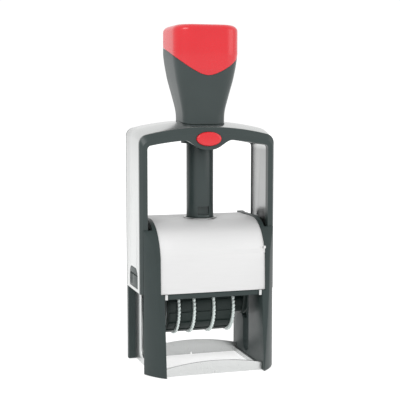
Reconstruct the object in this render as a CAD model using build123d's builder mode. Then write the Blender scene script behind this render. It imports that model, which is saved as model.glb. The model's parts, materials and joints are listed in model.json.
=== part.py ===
"""Self-inking date stamp: base, sliding bow with handle, flip carrier, thumb wheels, pad and lock.

Model frame: millimetres, +Z up, origin on the floor under the middle of the outer box.
+X is the user's right and -Y faces the user.  The press axis stands at y = AXIS_Y.
"""
from build123d import *
import os
from math import cos, pi, radians, sin, sqrt

os.makedirs("parts", exist_ok=True)

# ---------------------------------------------------------------- driving dimensions
BASE_HALF_W = 29.5          # outer half width of the two cheeks
WINDOW_HALF_W = 22.0        # inner half width between the cheeks
BASE_FRONT = 21.0           # floor line of the cheeks in front of the origin
BASE_REAR = 21.0            # rear face of the cheeks behind the origin
AXIS_Y = 3.5                # handle, column, pins and slots all stand on this line
TRAVEL = 32.0               # full press stroke
PIVOT_Z = 40.0              # pivot pins at rest
ARBOR_GAP = 1.0             # rims of the wheels below the pivot pins

CHEEK_WALL = 3.5            # cheek plate between the window and the side plate
PLATE_T = 0.8               # slotted steel side plate
CHANNEL_FRONT = 10.6        # front end of the channel for the bow's leg
CHANNEL_REAR = 18.0         # rear end of that channel
RIM = 0.5                   # cheek rim proud of the cover
FLANGE_TOP = 62.0           # top of the rear flange

COVER_LAP = 1.5             # sheet-steel cover beyond the window on each side
COVER_T = 0.8
COVER_LIP_Z = 35.6          # lower edge of the cover
COVER_LIP_Y = 17.2
COVER_KNEE_Z = 48.5         # where the cover starts to curl over
COVER_KNEE_Y = 16.8
COVER_R = 17.3              # curl of the cover
COVER_REAR = 17.6
SEAT_GAP = 0.1              # fitting gap between fixed pieces

FRAME_T = 0.9               # folded steel base frame
FRAME_HALF_D = 18.0
FRAME_RAIL_H = 2.0
FRAME_FRONT_H = 5.7
FRAME_FRONT_R = 105.0
FRAME_REAR_H = 6.9
FRAME_REAR_R = 90.0

COLUMN_R = 6.0              # telescoping guide column
COLUMN_BORE_R = 4.3
COLUMN_TOP = 107.5
COLUMN_FLOOR = 2.4
BRIDGE_TOP = 64.6           # cross member that carries the column
BRIDGE_T = 3.2
RING_WALL = 1.0             # steel ring round the column, in the cover's hole

BOW_OVERHANG = 1.0          # moving bow beyond the cheeks
BOW_FRONT = 10.0
BOW_REAR = 17.4
BOW_FOOT_Z = 34.5
BEZEL_D = 3.0
BEZEL_W = 3.2               # width of the bezel's legs
BEZEL_TOP = 106.2
BEZEL_BEVEL = 1.5
STRAP_T = 1.2
STRAP_TOP = 108.8           # crown of the bow
CROWN_R = 120.0
STRAP_CORNER_R = 4.0
SHOULDER_Y = 4.0            # the crown falls away in front of this line
SHOULDER_DROP = 2.4
WINDOW_TOP = 101.0          # underside of the bow's head
WINDOW_TOP_R = 140.0
TRIM_D = 1.0
TRIM_W = 1.5
HEAD_TOP = 104.9

NOTCH_HALF_W = 7.5          # window in the strap for the pivot clip
NOTCH_CORNER_R = 4.0
NOTCH_BOTTOM = 35.9
NOTCH_TOP = 44.8
PIN_R = 2.0                 # pivot pins
BUSH_WALL = 1.4             # slot bushes on the pins
SLOT_BOTTOM = 3.5

HANDLE_FOOT_Z = 107.8       # seam between neck collar and grip
HANDLE_TOP = 150.5
NECK_HALF_W = 9.5
NECK_CORNER_R = 5.0
GRIP_HALF_W = 14.6
GRIP_CORNER_R = 6.5
CAP_H = 22.5                # height of the cap at its lowest point, on the front face
CAP_ROUND = 3.5             # the edge is a hyperbola: round at the bottom,
CAP_FLARE = 0.7             # rising at this slope to both sides,
CAP_TILT = 0.24             # and higher towards the rear at this slope
CAP_RIM_R = 2.8
CAP_T = 2.2
CAVITY_GAP = 0.5            # hollow of the handle that the column slides into
CAVITY_ROOF = 9.0           # from the hollow's end to the handle's top
ROD_R = 1.6
ROD_BOTTOM = 101.0

BUTTON_W = 11.2             # oval lock button
BUTTON_H = 6.1
BUTTON_Z = 101.2
BUTTON_PROUD = 1.2
LOCK_STROKE = 1.8
BOLT_HALF_W = 2.2
BOLT_HALF_H = 1.5
BOSS_BOTTOM = 96.5          # bulge of the bezel under the button
BOSS_HALF_W = 10.6

DIE_SIDE_GAP = 1.8          # text plate and die, from the cheeks
DIE_HALF_D = 12.0
CARRIER_SIDE_GAP = 1.5
CARRIER_WALL = 2.0
ARBOR_R = 2.0
DISC_R = 12.5               # toothed thumb discs
DISC_T = 1.0
DISC_X = (-13.0, -6.0, 3.0, 12.0)
TOOTH_COUNT = 44
TOOTH_H = 0.55
BAND_DROP = 1.3             # date bands round the wheel drums, below the discs' rims
BAND_T = 1.0
BAND_LEFT = -18.0
BAND_NOSE_HALF = 2.8
CAM_ARM = 8.0               # cam pins below the pivot
CAM_PIN_R = 1.4
CAM_DEPTH = 1.8
TRACK_STEPS = 16            # chords of the track in the cheeks

PAD_GAP = 0.6               # free height between the die and the ink pad
PAD_T = 5.2
CASSETTE_H = 7.6
CASSETTE_FRONT = 11.5
CASSETTE_REAR = 19.0
RUNNER_H = 1.4
RUNNER_W = 1.3

PLATE_H = 58.0              # height of the slotted side plates
PLATE_FOOT = 0.3
BEAM_H = 2.2                # beam under the cover's lip
BEAM_D = 2.4
SCREW_R = 1.1               # bridge screws
SCREW_HEAD_R = 2.0
SCREW_HEAD_T = 1.1
SCREW_GRIP = 5.5            # thread length in the bridge
COLUMN_SCREW_R = 1.5
SPRING_R = 3.9
SPRING_WIRE = 1.2
GUIDE_BOSS_WALL = 2.4       # boss of the head round the column
GUIDE_BOSS_Z = 99.0
BED_T = 1.6                 # bed of the carrier under the text plate
DIE_T = 1.2
SPACER_R = 4.4

CLIP_GAP = 0.15             # gap round the pivot clips
RUN = 0.06                  # running clearance of shafts
PLAY = 0.3                  # clearance of curved faces that slide past each other
SIDES = (("left", -1), ("right", 1))

# ---------------------------------------------------------------- derived sizes
COVER_HALF_W = WINDOW_HALF_W + COVER_LAP
DIE_HALF_W = WINDOW_HALF_W - DIE_SIDE_GAP
CARRIER_HALF_W = WINDOW_HALF_W - CARRIER_SIDE_GAP
BOW_HALF_W = BASE_HALF_W + BOW_OVERHANG
BEZEL_INNER_HALF_W = BOW_HALF_W - BEZEL_W
RING_R = COLUMN_R + RING_WALL
CAVITY_R = COLUMN_R + CAVITY_GAP
CAVITY_TOP = HANDLE_TOP - CAVITY_ROOF
CAP_LOW_Z = HANDLE_TOP - CAP_H
GUIDE_BOSS_R = COLUMN_R + GUIDE_BOSS_WALL
BUSH_R = PIN_R + BUSH_WALL
SLOT_R = BUSH_R + PLAY
BAND_R = DISC_R - BAND_DROP
PLATE_IN = WINDOW_HALF_W + CHEEK_WALL
PLATE_OUT = PLATE_IN + PLATE_T
COVER_TOP = COVER_KNEE_Z + COVER_R
COVER_ARC_Y = COVER_R - COVER_KNEE_Y
STRAP_FRONT = -BOW_FRONT + BEZEL_D
STRAP_REAR = BOW_REAR - TRIM_D
STRAP_IN = BOW_HALF_W - STRAP_T
DIE_LIFT = PIVOT_Z - TRAVEL                 # die face above the pivot at rest
ARBOR_Z = PIVOT_Z - ARBOR_GAP - DISC_R
BRIDGE_BOTTOM = BRIDGE_TOP - BRIDGE_T
DRUM_R = BAND_R - BAND_T - PLAY
PAD_Z = PIVOT_Z + DIE_LIFT + PAD_GAP
CASSETTE_Z = PAD_Z + 1.6
PLATE_BASE = DIE_LIFT - 3.8                 # underside of the text plate above the pivot
BAND_RIGHT = DISC_X[-1] - DISC_T / 2 - SEAT_GAP
LOCK_POCKET_Y = AXIS_Y - COLUMN_R - 0.8


def crown_end(crown_z, radius, half_w):
    """Height of a crown arc at its two ends."""
    return crown_z - radius + sqrt(radius ** 2 - half_w ** 2)


def arch_profile(half_w, foot_z, crown_z, radius, corner_r):
    """Arch outline in the current sketch: straight legs, crowned top, rounded corners."""
    end_z = crown_end(crown_z, radius, half_w)
    with BuildLine() as outline:
        Polyline((-half_w, end_z), (-half_w, foot_z), (half_w, foot_z), (half_w, end_z))
        ThreePointArc((half_w, end_z), (0, crown_z), (-half_w, end_z))
    arch = make_face(outline.line)
    if corner_r > 0:
        fillet(arch.vertices().group_by(Axis.Y)[-1], radius=corner_r)


def shouldered_block(half_w, foot_z, crown_z, corner_r, front, rear):
    """Solid arch whose crown falls away towards the front, as a stack of ruled strips."""
    stations = [SHOULDER_Y + (front - SHOULDER_Y) * step / 4 for step in range(5)]
    with BuildPart() as block:
        with BuildSketch(Plane.XZ.offset(-rear)):
            arch_profile(half_w, foot_z, crown_z, CROWN_R, corner_r)
        extrude(amount=rear - SHOULDER_Y)
        for near, far in zip(stations, stations[1:]):
            for y in (near, far):
                share = (SHOULDER_Y - y) / (SHOULDER_Y - STRAP_FRONT)
                with BuildSketch(Plane.XZ.offset(-y)):
                    drop = SHOULDER_DROP * share ** 2
                    arch_profile(half_w, foot_z, crown_z - drop, CROWN_R, corner_r)
            loft(ruled=True)
    return block.part


def cheek_side_profile():
    """Side outline of a cheek in the current sketch, local x to the rear and y up."""
    rim_r = COVER_R + RIM
    corner = sin(radians(45)) * rim_r
    with BuildLine() as outline:
        Polyline((-COVER_KNEE_Y - RIM, COVER_KNEE_Z), (-COVER_LIP_Y - RIM, COVER_LIP_Z),
                 (-BASE_FRONT, 0), (BASE_REAR, 0), (BASE_REAR, COVER_TOP + RIM),
                 (COVER_ARC_Y, COVER_TOP + RIM))
        ThreePointArc((COVER_ARC_Y, COVER_TOP + RIM),
                      (COVER_ARC_Y - corner, COVER_KNEE_Z + corner),
                      (-COVER_KNEE_Y - RIM, COVER_KNEE_Z))
    make_face(outline.line)


def cover_profile(inset, foot_z=COVER_LIP_Z, mode=Mode.ADD):
    """Outline of all that lies under the cover's outer face, moved inwards by inset, down to foot_z."""
    arc_r = COVER_R - inset
    corner = sin(radians(45)) * arc_r
    with BuildLine() as outline:
        Polyline((-COVER_KNEE_Y + inset, COVER_KNEE_Z), (-COVER_LIP_Y + inset, foot_z),
                 (BASE_REAR, foot_z), (BASE_REAR, COVER_TOP - inset),
                 (COVER_ARC_Y, COVER_TOP - inset))
        ThreePointArc((COVER_ARC_Y, COVER_TOP - inset),
                      (COVER_ARC_Y - corner, COVER_KNEE_Z + corner),
                      (-COVER_KNEE_Y + inset, COVER_KNEE_Z))
    make_face(outline.line, mode=mode)


def notch_profile(inset):
    """Round-shouldered window of the pivot clip in the current side sketch, made smaller by inset."""
    with Locations((AXIS_Y, NOTCH_BOTTOM + inset)):
        window = Rectangle(2 * (NOTCH_HALF_W - inset), NOTCH_TOP - NOTCH_BOTTOM - 2 * inset,
                           align=(Align.CENTER, Align.MIN))
    fillet(window.vertices().group_by(Axis.Y)[-1], radius=NOTCH_CORNER_R - inset)


def cap_edge(x):
    """Height of the cap's lower edge on the front face at x."""
    return CAP_LOW_Z + sqrt(CAP_ROUND ** 2 + (CAP_FLARE * x) ** 2) - CAP_ROUND


def cam_point(turn):
    """Middle of a cam pin, seen from the side, when the carrier has turned by turn radians."""
    return (AXIS_Y + CAM_ARM * sin(turn), PIVOT_Z - TRAVEL * turn / pi - CAM_ARM * cos(turn))


# ---------------------------------------------------------------- base: cheeks and side plates
slot_length = PIVOT_Z + SLOT_R - SLOT_BOTTOM
slot_mid_z = SLOT_BOTTOM + slot_length / 2
screw_spots = [(AXIS_Y - 3.4, BRIDGE_TOP - BRIDGE_T / 2), (AXIS_Y + 9.5, BRIDGE_TOP - BRIDGE_T / 2)]
GROOVE_HALF = CAM_PIN_R + PLAY
RUNNER_Z = CASSETTE_Z + 4.8
runner_centre_z = RUNNER_Z + RUNNER_H / 2

for side, sign in SIDES:
    with BuildPart() as cheek:
        with BuildSketch(Plane.YZ.offset(sign * WINDOW_HALF_W)):
            cheek_side_profile()
        extrude(amount=sign * (BASE_HALF_W - WINDOW_HALF_W))
        # plan outline: the front corner is cut back along a shallow convex arc
        with BuildSketch():
            with BuildLine():
                Polyline((sign * BASE_HALF_W, -CHANNEL_FRONT), (sign * BASE_HALF_W, BASE_REAR),
                         (sign * WINDOW_HALF_W, BASE_REAR), (sign * WINDOW_HALF_W, -BASE_FRONT))
                ThreePointArc((sign * WINDOW_HALF_W, -BASE_FRONT),
                              (sign * (BASE_HALF_W + WINDOW_HALF_W + 1.2) / 2,
                               -(BASE_FRONT + CHANNEL_FRONT + 1.0) / 2),
                              (sign * BASE_HALF_W, -CHANNEL_FRONT))
            make_face()
        extrude(amount=COVER_TOP + 2 * RIM, mode=Mode.INTERSECT)
        # channel for the bow's leg
        with BuildSketch(Plane.YZ.offset(sign * PLATE_IN)):
            with Locations(((CHANNEL_REAR - CHANNEL_FRONT) / 2, COVER_TOP / 2)):
                Rectangle(CHANNEL_REAR + CHANNEL_FRONT, 2 * COVER_TOP)
        extrude(amount=sign * BASE_HALF_W, mode=Mode.SUBTRACT)
        # the rear flange stops below the rim
        with BuildSketch(Plane.YZ.offset(sign * PLATE_OUT)):
            with Locations((BASE_REAR, FLANGE_TOP + 10)):
                Rectangle(2 * (BASE_REAR - CHANNEL_REAR) + 1, 20)
        extrude(amount=sign * BASE_HALF_W, mode=Mode.SUBTRACT)
        # seat of the cover
        with BuildSketch(Plane.YZ.offset(sign * WINDOW_HALF_W)):
            with Locations((0, COVER_LIP_Z - 0.2)):
                Rectangle(4 * BASE_FRONT, COVER_TOP, align=(Align.CENTER, Align.MIN))
            cover_profile(COVER_T + SEAT_GAP, foot_z=COVER_LIP_Z - 1.0, mode=Mode.SUBTRACT)
        extrude(amount=sign * (COVER_HALF_W + SEAT_GAP - WINDOW_HALF_W), mode=Mode.SUBTRACT)
        # slot for the bush and cam track for the carrier's pin
        with BuildSketch(Plane.YZ.offset(sign * WINDOW_HALF_W)):
            with Locations((AXIS_Y, slot_mid_z)):
                SlotOverall(slot_length, 2 * SLOT_R, rotation=90)
        extrude(amount=sign * CHEEK_WALL, mode=Mode.SUBTRACT)
        with BuildSketch(Plane.YZ.offset(sign * WINDOW_HALF_W)):
            with BuildLine():
                Polyline(*[cam_point(pi * step / TRACK_STEPS) for step in range(TRACK_STEPS + 1)])
                offset(amount=GROOVE_HALF, side=Side.BOTH)
            make_face()
        extrude(amount=sign * CAM_DEPTH, mode=Mode.SUBTRACT)
        # runner for the pad cassette
        with BuildSketch(Plane.YZ.offset(sign * WINDOW_HALF_W)):
            with Locations(((COVER_REAR - CASSETTE_FRONT) / 2, runner_centre_z)):
                Rectangle(COVER_REAR + CASSETTE_FRONT - 1, RUNNER_H)
        extrude(amount=-sign * RUNNER_W)
        # bridge screws
        with BuildSketch(Plane.YZ.offset(sign * WINDOW_HALF_W)):
            with Locations(*screw_spots):
                Circle(SCREW_R)
        extrude(amount=sign * BASE_HALF_W, mode=Mode.SUBTRACT)
        with BuildSketch(Plane.YZ.offset(sign * (PLATE_IN - SCREW_HEAD_T))):
            with Locations(*screw_spots):
                Circle(SCREW_HEAD_R)
        extrude(amount=sign * BASE_HALF_W, mode=Mode.SUBTRACT)
    cheek.part.label = f"cheek_{side}"
    export_step(cheek.part, f"parts/cheek_{side}.step")

    with BuildPart() as side_plate:
        with BuildSketch(Plane.YZ.offset(sign * PLATE_IN)):
            with Locations(((CHANNEL_REAR - CHANNEL_FRONT) / 2, PLATE_FOOT)):
                Rectangle(CHANNEL_REAR + CHANNEL_FRONT, PLATE_H, align=(Align.CENTER, Align.MIN))
            with Locations((AXIS_Y, slot_mid_z)):
                SlotOverall(slot_length, 2 * SLOT_R, rotation=90, mode=Mode.SUBTRACT)
        extrude(amount=sign * PLATE_T)
    side_plate.part.label = f"side_plate_{side}"
    export_step(side_plate.part, f"parts/side_plate_{side}.step")

# ---------------------------------------------------------------- base: frame, beam, cover
frame_half_w = WINDOW_HALF_W - SEAT_GAP / 2
with BuildPart() as base_frame:
    with BuildSketch():
        Rectangle(2 * frame_half_w, 2 * FRAME_HALF_D)
        Rectangle(2 * (frame_half_w - FRAME_T), 2 * (FRAME_HALF_D - FRAME_T), mode=Mode.SUBTRACT)
    extrude(amount=FRAME_RAIL_H)
    for wall_y, height, radius in ((FRAME_T - FRAME_HALF_D, FRAME_FRONT_H, FRAME_FRONT_R),
                                   (FRAME_HALF_D, FRAME_REAR_H, FRAME_REAR_R)):
        with BuildSketch(Plane.XZ.offset(-wall_y)):
            arch_profile(frame_half_w, 0, height, radius, 0)
        extrude(amount=FRAME_T)
base_frame.part.label = "base_frame"
export_step(base_frame.part, "parts/base_frame.step")

beam_top = COVER_LIP_Z - 0.2
with BuildPart() as front_beam:
    with BuildSketch(Plane.XY.offset(beam_top - BEAM_H)):
        with Locations((0, -COVER_LIP_Y + 0.2)):
            Rectangle(2 * frame_half_w, BEAM_D, align=(Align.CENTER, Align.MIN))
    extrude(amount=BEAM_H)
    fillet(front_beam.edges().filter_by(Axis.X), radius=0.4)
front_beam.part.label = "front_beam"
export_step(front_beam.part, "parts/front_beam.step")

with BuildPart() as front_cover:
    with BuildSketch(Plane.YZ.offset(-COVER_HALF_W)):
        cover_profile(0)
    extrude(amount=2 * COVER_HALF_W)
    with BuildSketch(Plane.YZ.offset(-COVER_HALF_W)):
        cover_profile(COVER_T)
    extrude(amount=2 * COVER_HALF_W, mode=Mode.SUBTRACT)
    with BuildSketch(Plane.XY.offset(COVER_LIP_Z)):
        with Locations((0, COVER_REAR)):
            Rectangle(3 * COVER_HALF_W, 20, align=(Align.CENTER, Align.MIN))
    extrude(amount=COVER_TOP, mode=Mode.SUBTRACT)
    with Locations((0, AXIS_Y, COVER_TOP)):
        Hole(radius=RING_R, depth=2 * COVER_T)
front_cover.part.label = "front_cover"
export_step(front_cover.part, "parts/front_cover.step")

with BuildPart() as cover_clips:
    for side, sign in SIDES:
        with BuildSketch(Plane.XY.offset(beam_top - BEAM_H)):
            with Locations((sign * (WINDOW_HALF_W - 0.8), -COVER_LIP_Y - 0.5)):
                Rectangle(1.2, 0.6, align=(Align.CENTER, Align.MIN))
        extrude(amount=BEAM_H + 0.1)
cover_clips.part.label = "cover_clips"
export_step(cover_clips.part, "parts/cover_clips.step")

with BuildPart() as cover_ring:
    with BuildSketch(Plane.XZ.offset(-AXIS_Y)):
        with BuildLine():
            Polyline((COLUMN_R + 0.35, BRIDGE_TOP + 0.2), (RING_R - 0.05, BRIDGE_TOP + 0.2),
                     (RING_R - 0.05, COVER_TOP + 0.05), (RING_R + 0.5, COVER_TOP + 0.05),
                     (RING_R + 0.3, COVER_TOP + 0.45), (COLUMN_R + 0.6, COVER_TOP + 0.45),
                     (COLUMN_R + 0.35, COVER_TOP + 0.2), close=True)
        make_face()
    revolve(axis=Axis((0, AXIS_Y, 0), (0, 0, 1)))
cover_ring.part.label = "cover_ring"
export_step(cover_ring.part, "parts/cover_ring.step")

# ---------------------------------------------------------------- base: bridge, column, spring
bridge_front = AXIS_Y - 6.5
bridge_rear = COVER_REAR - 1.0
with BuildPart() as bridge:
    with BuildSketch(Plane.XY.offset(BRIDGE_BOTTOM)):
        with Locations((0, bridge_front)):
            Rectangle(2 * WINDOW_HALF_W, bridge_rear - bridge_front, align=(Align.CENTER, Align.MIN))
    extrude(amount=BRIDGE_T)
    with Locations((0, AXIS_Y, BRIDGE_TOP)):
        Hole(radius=COLUMN_SCREW_R)
    for side, sign in SIDES:
        with BuildSketch(Plane.YZ.offset(sign * WINDOW_HALF_W)):
            with Locations(*screw_spots):
                Circle(SCREW_R)
        extrude(amount=-sign * (SCREW_GRIP + 0.5), mode=Mode.SUBTRACT)
bridge.part.label = "bridge"
export_step(bridge.part, "parts/bridge.step")

with BuildPart() as bridge_screws:
    for side, sign in SIDES:
        with BuildSketch(Plane.YZ.offset(sign * (WINDOW_HALF_W - SCREW_GRIP))):
            with Locations(*screw_spots):
                Circle(SCREW_R - 0.02)
        extrude(amount=sign * (SCREW_GRIP + CHEEK_WALL - SCREW_HEAD_T))
        with BuildSketch(Plane.YZ.offset(sign * (PLATE_IN - SCREW_HEAD_T))):
            with Locations(*screw_spots):
                Circle(SCREW_HEAD_R - 0.05)
        extrude(amount=sign * SCREW_HEAD_T)
        with BuildSketch(Plane.YZ.offset(sign * PLATE_IN)):
            with Locations(*screw_spots):
                Rectangle(2 * SCREW_HEAD_R, 0.5)
        extrude(amount=-sign * 0.5, mode=Mode.SUBTRACT)
bridge_screws.part.label = "bridge_screws"
export_step(bridge_screws.part, "parts/bridge_screws.step")

latch_heights = (BUTTON_Z, BUTTON_Z - TRAVEL)
with BuildPart() as column:
    with BuildSketch(Plane.XY.offset(BRIDGE_TOP)):
        with Locations((0, AXIS_Y)):
            Circle(COLUMN_R)
    extrude(amount=COLUMN_TOP - BRIDGE_TOP)
    with BuildSketch(Plane.XY.offset(BRIDGE_TOP + COLUMN_FLOOR)):
        with Locations((0, AXIS_Y)):
            Circle(COLUMN_BORE_R)
    extrude(amount=COLUMN_TOP, mode=Mode.SUBTRACT)
    with BuildSketch(Plane.XY.offset(BRIDGE_TOP)):
        with Locations((0, AXIS_Y)):
            Circle(COLUMN_SCREW_R)
    extrude(amount=COLUMN_FLOOR - 0.4, mode=Mode.SUBTRACT)
    for latch_z in latch_heights:
        with BuildSketch(Plane.XZ.offset(-AXIS_Y)):
            with Locations((0, latch_z)):
                Rectangle(2 * (BOLT_HALF_W + 0.4), 2 * (BOLT_HALF_H + 0.4))
        extrude(amount=COLUMN_R + 1, mode=Mode.SUBTRACT)
    chamfer(column.edges().group_by(Axis.Z)[-1], length=0.5)
column.part.label = "column"
export_step(column.part, "parts/column.step")

with BuildPart() as column_screw:
    with BuildSketch(Plane.XY.offset(BRIDGE_BOTTOM - 0.9)):
        with Locations((0, AXIS_Y)):
            Circle(3.0)
    extrude(amount=0.9)
    with BuildSketch(Plane.XY.offset(BRIDGE_BOTTOM)):
        with Locations((0, AXIS_Y)):
            Circle(COLUMN_SCREW_R - 0.02)
    extrude(amount=BRIDGE_T + COLUMN_FLOOR - 0.6)
    with BuildSketch(Plane.XY.offset(BRIDGE_BOTTOM - 0.9)):
        with Locations((0, AXIS_Y)):
            Rectangle(6.2, 0.7)
    extrude(amount=0.4, mode=Mode.SUBTRACT)
column_screw.part.label = "column_screw"
export_step(column_screw.part, "parts/column_screw.step")

spring_foot = BRIDGE_TOP + COLUMN_FLOOR
with BuildPart() as press_spring:
    with BuildSketch(Plane.XY.offset(spring_foot)):
        with Locations((0, AXIS_Y)):
            Circle(SPRING_R)
            Circle(SPRING_R - SPRING_WIRE, mode=Mode.SUBTRACT)
    extrude(amount=CAVITY_TOP - 0.1 - spring_foot)
press_spring.part.label = "press_spring"
export_step(press_spring.part, "parts/press_spring.step")

# ---------------------------------------------------------------- bow: strap, bezel, trim, head
neck_hole_half = NECK_HALF_W + 0.15
strap_outer = shouldered_block(BOW_HALF_W, BOW_FOOT_Z, STRAP_TOP, STRAP_CORNER_R, STRAP_FRONT, STRAP_REAR)
strap_inner = shouldered_block(STRAP_IN, BOW_FOOT_Z, STRAP_TOP - STRAP_T, STRAP_CORNER_R - STRAP_T,
                               STRAP_FRONT, STRAP_REAR)
with BuildPart() as bow_strap:
    add(strap_outer)
    add(strap_inner, mode=Mode.SUBTRACT)
    with BuildSketch(Plane.XY.offset(WINDOW_TOP)):
        with Locations((0, AXIS_Y)):
            RectangleRounded(2 * neck_hole_half, 2 * neck_hole_half, NECK_CORNER_R)
    extrude(amount=20, mode=Mode.SUBTRACT)
    for side, sign in SIDES:
        with BuildSketch(Plane.YZ.offset(sign * STRAP_IN)):
            notch_profile(0)
        extrude(amount=sign * 2 * STRAP_T, both=True, mode=Mode.SUBTRACT)
bow_strap.part.label = "bow_strap"
export_step(bow_strap.part, "parts/bow_strap.step")

inner_end_z = crown_end(WINDOW_TOP, WINDOW_TOP_R, BEZEL_INNER_HALF_W)
with BuildPart() as front_bezel:
    with BuildSketch(Plane.XZ.offset(-STRAP_FRONT)):
        arch_profile(BOW_HALF_W, BOW_FOOT_Z, BEZEL_TOP, CROWN_R, STRAP_CORNER_R)
    extrude(amount=BEZEL_D)
    bezel_face = front_bezel.faces().sort_by(Axis.Y)[0]
    outer_edges = [edge for edge in bezel_face.edges() if edge.center().Z > BOW_FOOT_Z + 1]
    chamfer(outer_edges, length=BEZEL_BEVEL)
    with BuildSketch(Plane.XZ.offset(-STRAP_FRONT)):
        arch_profile(BEZEL_INNER_HALF_W, BOW_FOOT_Z, WINDOW_TOP, WINDOW_TOP_R, 1.5)
    extrude(amount=BEZEL_D, mode=Mode.SUBTRACT)
    # bulge round the lock button, blended into the arch
    with BuildSketch(Plane.XZ.offset(-STRAP_FRONT)):
        with BuildLine():
            left = Spline((-BOSS_HALF_W, WINDOW_TOP - 0.35), (-BUTTON_W / 2, BOSS_BOTTOM + 1.0),
                          (0, BOSS_BOTTOM), tangents=[(1, -0.1), (1, 0)])
            right = Spline((0, BOSS_BOTTOM), (BUTTON_W / 2, BOSS_BOTTOM + 1.0),
                           (BOSS_HALF_W, WINDOW_TOP - 0.35), tangents=[(1, 0), (1, 0.1)])
            Polyline((BOSS_HALF_W, WINDOW_TOP - 0.35), (BOSS_HALF_W, WINDOW_TOP + 1),
                     (-BOSS_HALF_W, WINDOW_TOP + 1), (-BOSS_HALF_W, WINDOW_TOP - 0.35))
        make_face()
    extrude(amount=BEZEL_D)
    with BuildSketch(Plane.XZ.offset(-STRAP_FRONT)):
        with Locations((0, BUTTON_Z)):
            Ellipse(BUTTON_W / 2 + 0.12, BUTTON_H / 2 + 0.12)
    extrude(amount=BEZEL_D, mode=Mode.SUBTRACT)
front_bezel.part.label = "front_bezel"
export_step(front_bezel.part, "parts/front_bezel.step")

with BuildPart() as rear_trim:
    with BuildSketch(Plane.XZ.offset(-BOW_REAR)):
        arch_profile(BOW_HALF_W, BOW_FOOT_Z, STRAP_TOP, CROWN_R, STRAP_CORNER_R)
    extrude(amount=TRIM_D)
    with BuildSketch(Plane.XZ.offset(-BOW_REAR)):
        arch_profile(BOW_HALF_W - TRIM_W, BOW_FOOT_Z, WINDOW_TOP, WINDOW_TOP_R, 1.5)
    extrude(amount=TRIM_D, mode=Mode.SUBTRACT)
rear_trim.part.label = "rear_trim"
export_step(rear_trim.part, "parts/rear_trim.step")

guide_r = COLUMN_R + RUN
with BuildPart() as bow_head:
    with BuildSketch(Plane.XZ.offset(-STRAP_REAR)):
        head_half = STRAP_IN - SEAT_GAP
        low_end = crown_end(WINDOW_TOP, WINDOW_TOP_R, head_half)
        high_end = crown_end(HEAD_TOP, CROWN_R, head_half)
        with BuildLine():
            ThreePointArc((-head_half, low_end), (0, WINDOW_TOP), (head_half, low_end))
            Line((head_half, low_end), (head_half, high_end))
            ThreePointArc((head_half, high_end), (0, HEAD_TOP), (-head_half, high_end))
            Line((-head_half, high_end), (-head_half, low_end))
        head_face = make_face()
        fillet(head_face.vertices().group_by(Axis.Y)[-1], radius=STRAP_CORNER_R - STRAP_T - SEAT_GAP)
    extrude(amount=STRAP_REAR - STRAP_FRONT)
    with BuildSketch(Plane.XY.offset(GUIDE_BOSS_Z)):
        with Locations((0, AXIS_Y)):
            Circle(GUIDE_BOSS_R)
    extrude(amount=HEAD_TOP - 1 - GUIDE_BOSS_Z)
    with BuildSketch(Plane.XY.offset(GUIDE_BOSS_Z)):
        with Locations((0, AXIS_Y)):
            Circle(guide_r)
    extrude(amount=20, mode=Mode.SUBTRACT)
    with BuildSketch(Plane.XZ.offset(-STRAP_FRONT)):
        with Locations((0, BUTTON_Z)):
            Ellipse(BUTTON_W / 2 + 1.0, BUTTON_H / 2 + 0.1)
    extrude(amount=-(LOCK_POCKET_Y - STRAP_FRONT), mode=Mode.SUBTRACT)
    with BuildSketch(Plane.XZ.offset(-STRAP_FRONT)):
        with Locations((0, BUTTON_Z)):
            Rectangle(2 * (BOLT_HALF_W + 0.15), 2 * (BOLT_HALF_H + 0.15))
    extrude(amount=-(AXIS_Y - STRAP_FRONT), mode=Mode.SUBTRACT)
bow_head.part.label = "bow_head"
export_step(bow_head.part, "parts/bow_head.step")

# ---------------------------------------------------------------- bow: handle
with BuildPart() as neck_collar:
    with BuildSketch(Plane.XY.offset(HEAD_TOP)):
        with Locations((0, AXIS_Y)):
            RectangleRounded(2 * NECK_HALF_W, 2 * NECK_HALF_W, NECK_CORNER_R)
            Circle(CAVITY_R, mode=Mode.SUBTRACT)
    extrude(amount=HANDLE_FOOT_Z - HEAD_TOP)
neck_collar.part.label = "neck_collar"
export_step(neck_collar.part, "parts/neck_collar.step")

grip_stations = ((HANDLE_FOOT_Z, NECK_HALF_W, NECK_CORNER_R), (113.0, NECK_HALF_W + 0.25, NECK_CORNER_R),
                 (120.0, NECK_HALF_W + 1.8, 5.5), (128.0, GRIP_HALF_W - 1.4, 6.0),
                 (138.0, GRIP_HALF_W, GRIP_CORNER_R))
with BuildPart() as grip_body:
    for z, half_w, corner_r in grip_stations:
        with BuildSketch(Plane.XY.offset(z)):
            with Locations((0, AXIS_Y)):
                RectangleRounded(2 * half_w, 2 * half_w, corner_r)
    loft()
    with BuildSketch(Plane.XY.offset(grip_stations[-1][0])):
        with Locations((0, AXIS_Y)):
            RectangleRounded(2 * GRIP_HALF_W, 2 * GRIP_HALF_W, GRIP_CORNER_R)
    extrude(amount=HANDLE_TOP - grip_stations[-1][0])
    fillet(grip_body.edges().group_by(Axis.Z)[-1], radius=CAP_RIM_R)

zone_half = GRIP_HALF_W + 4.0
zone_spots = [zone_half * step / 6 for step in range(-6, 7)]
with BuildPart() as cap_zone:
    with BuildSketch(Plane.XZ.offset(GRIP_HALF_W - AXIS_Y + 1.0)):
        with BuildLine():
            Spline(*[(x, cap_edge(x)) for x in zone_spots])
            Polyline((zone_half, cap_edge(zone_half)), (zone_half, HANDLE_TOP + 10),
                     (-zone_half, HANDLE_TOP + 10), (-zone_half, cap_edge(zone_half)))
        make_face()
    extrude(amount=2 * GRIP_HALF_W + 4.0, dir=(0, 1, CAP_TILT))

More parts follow.
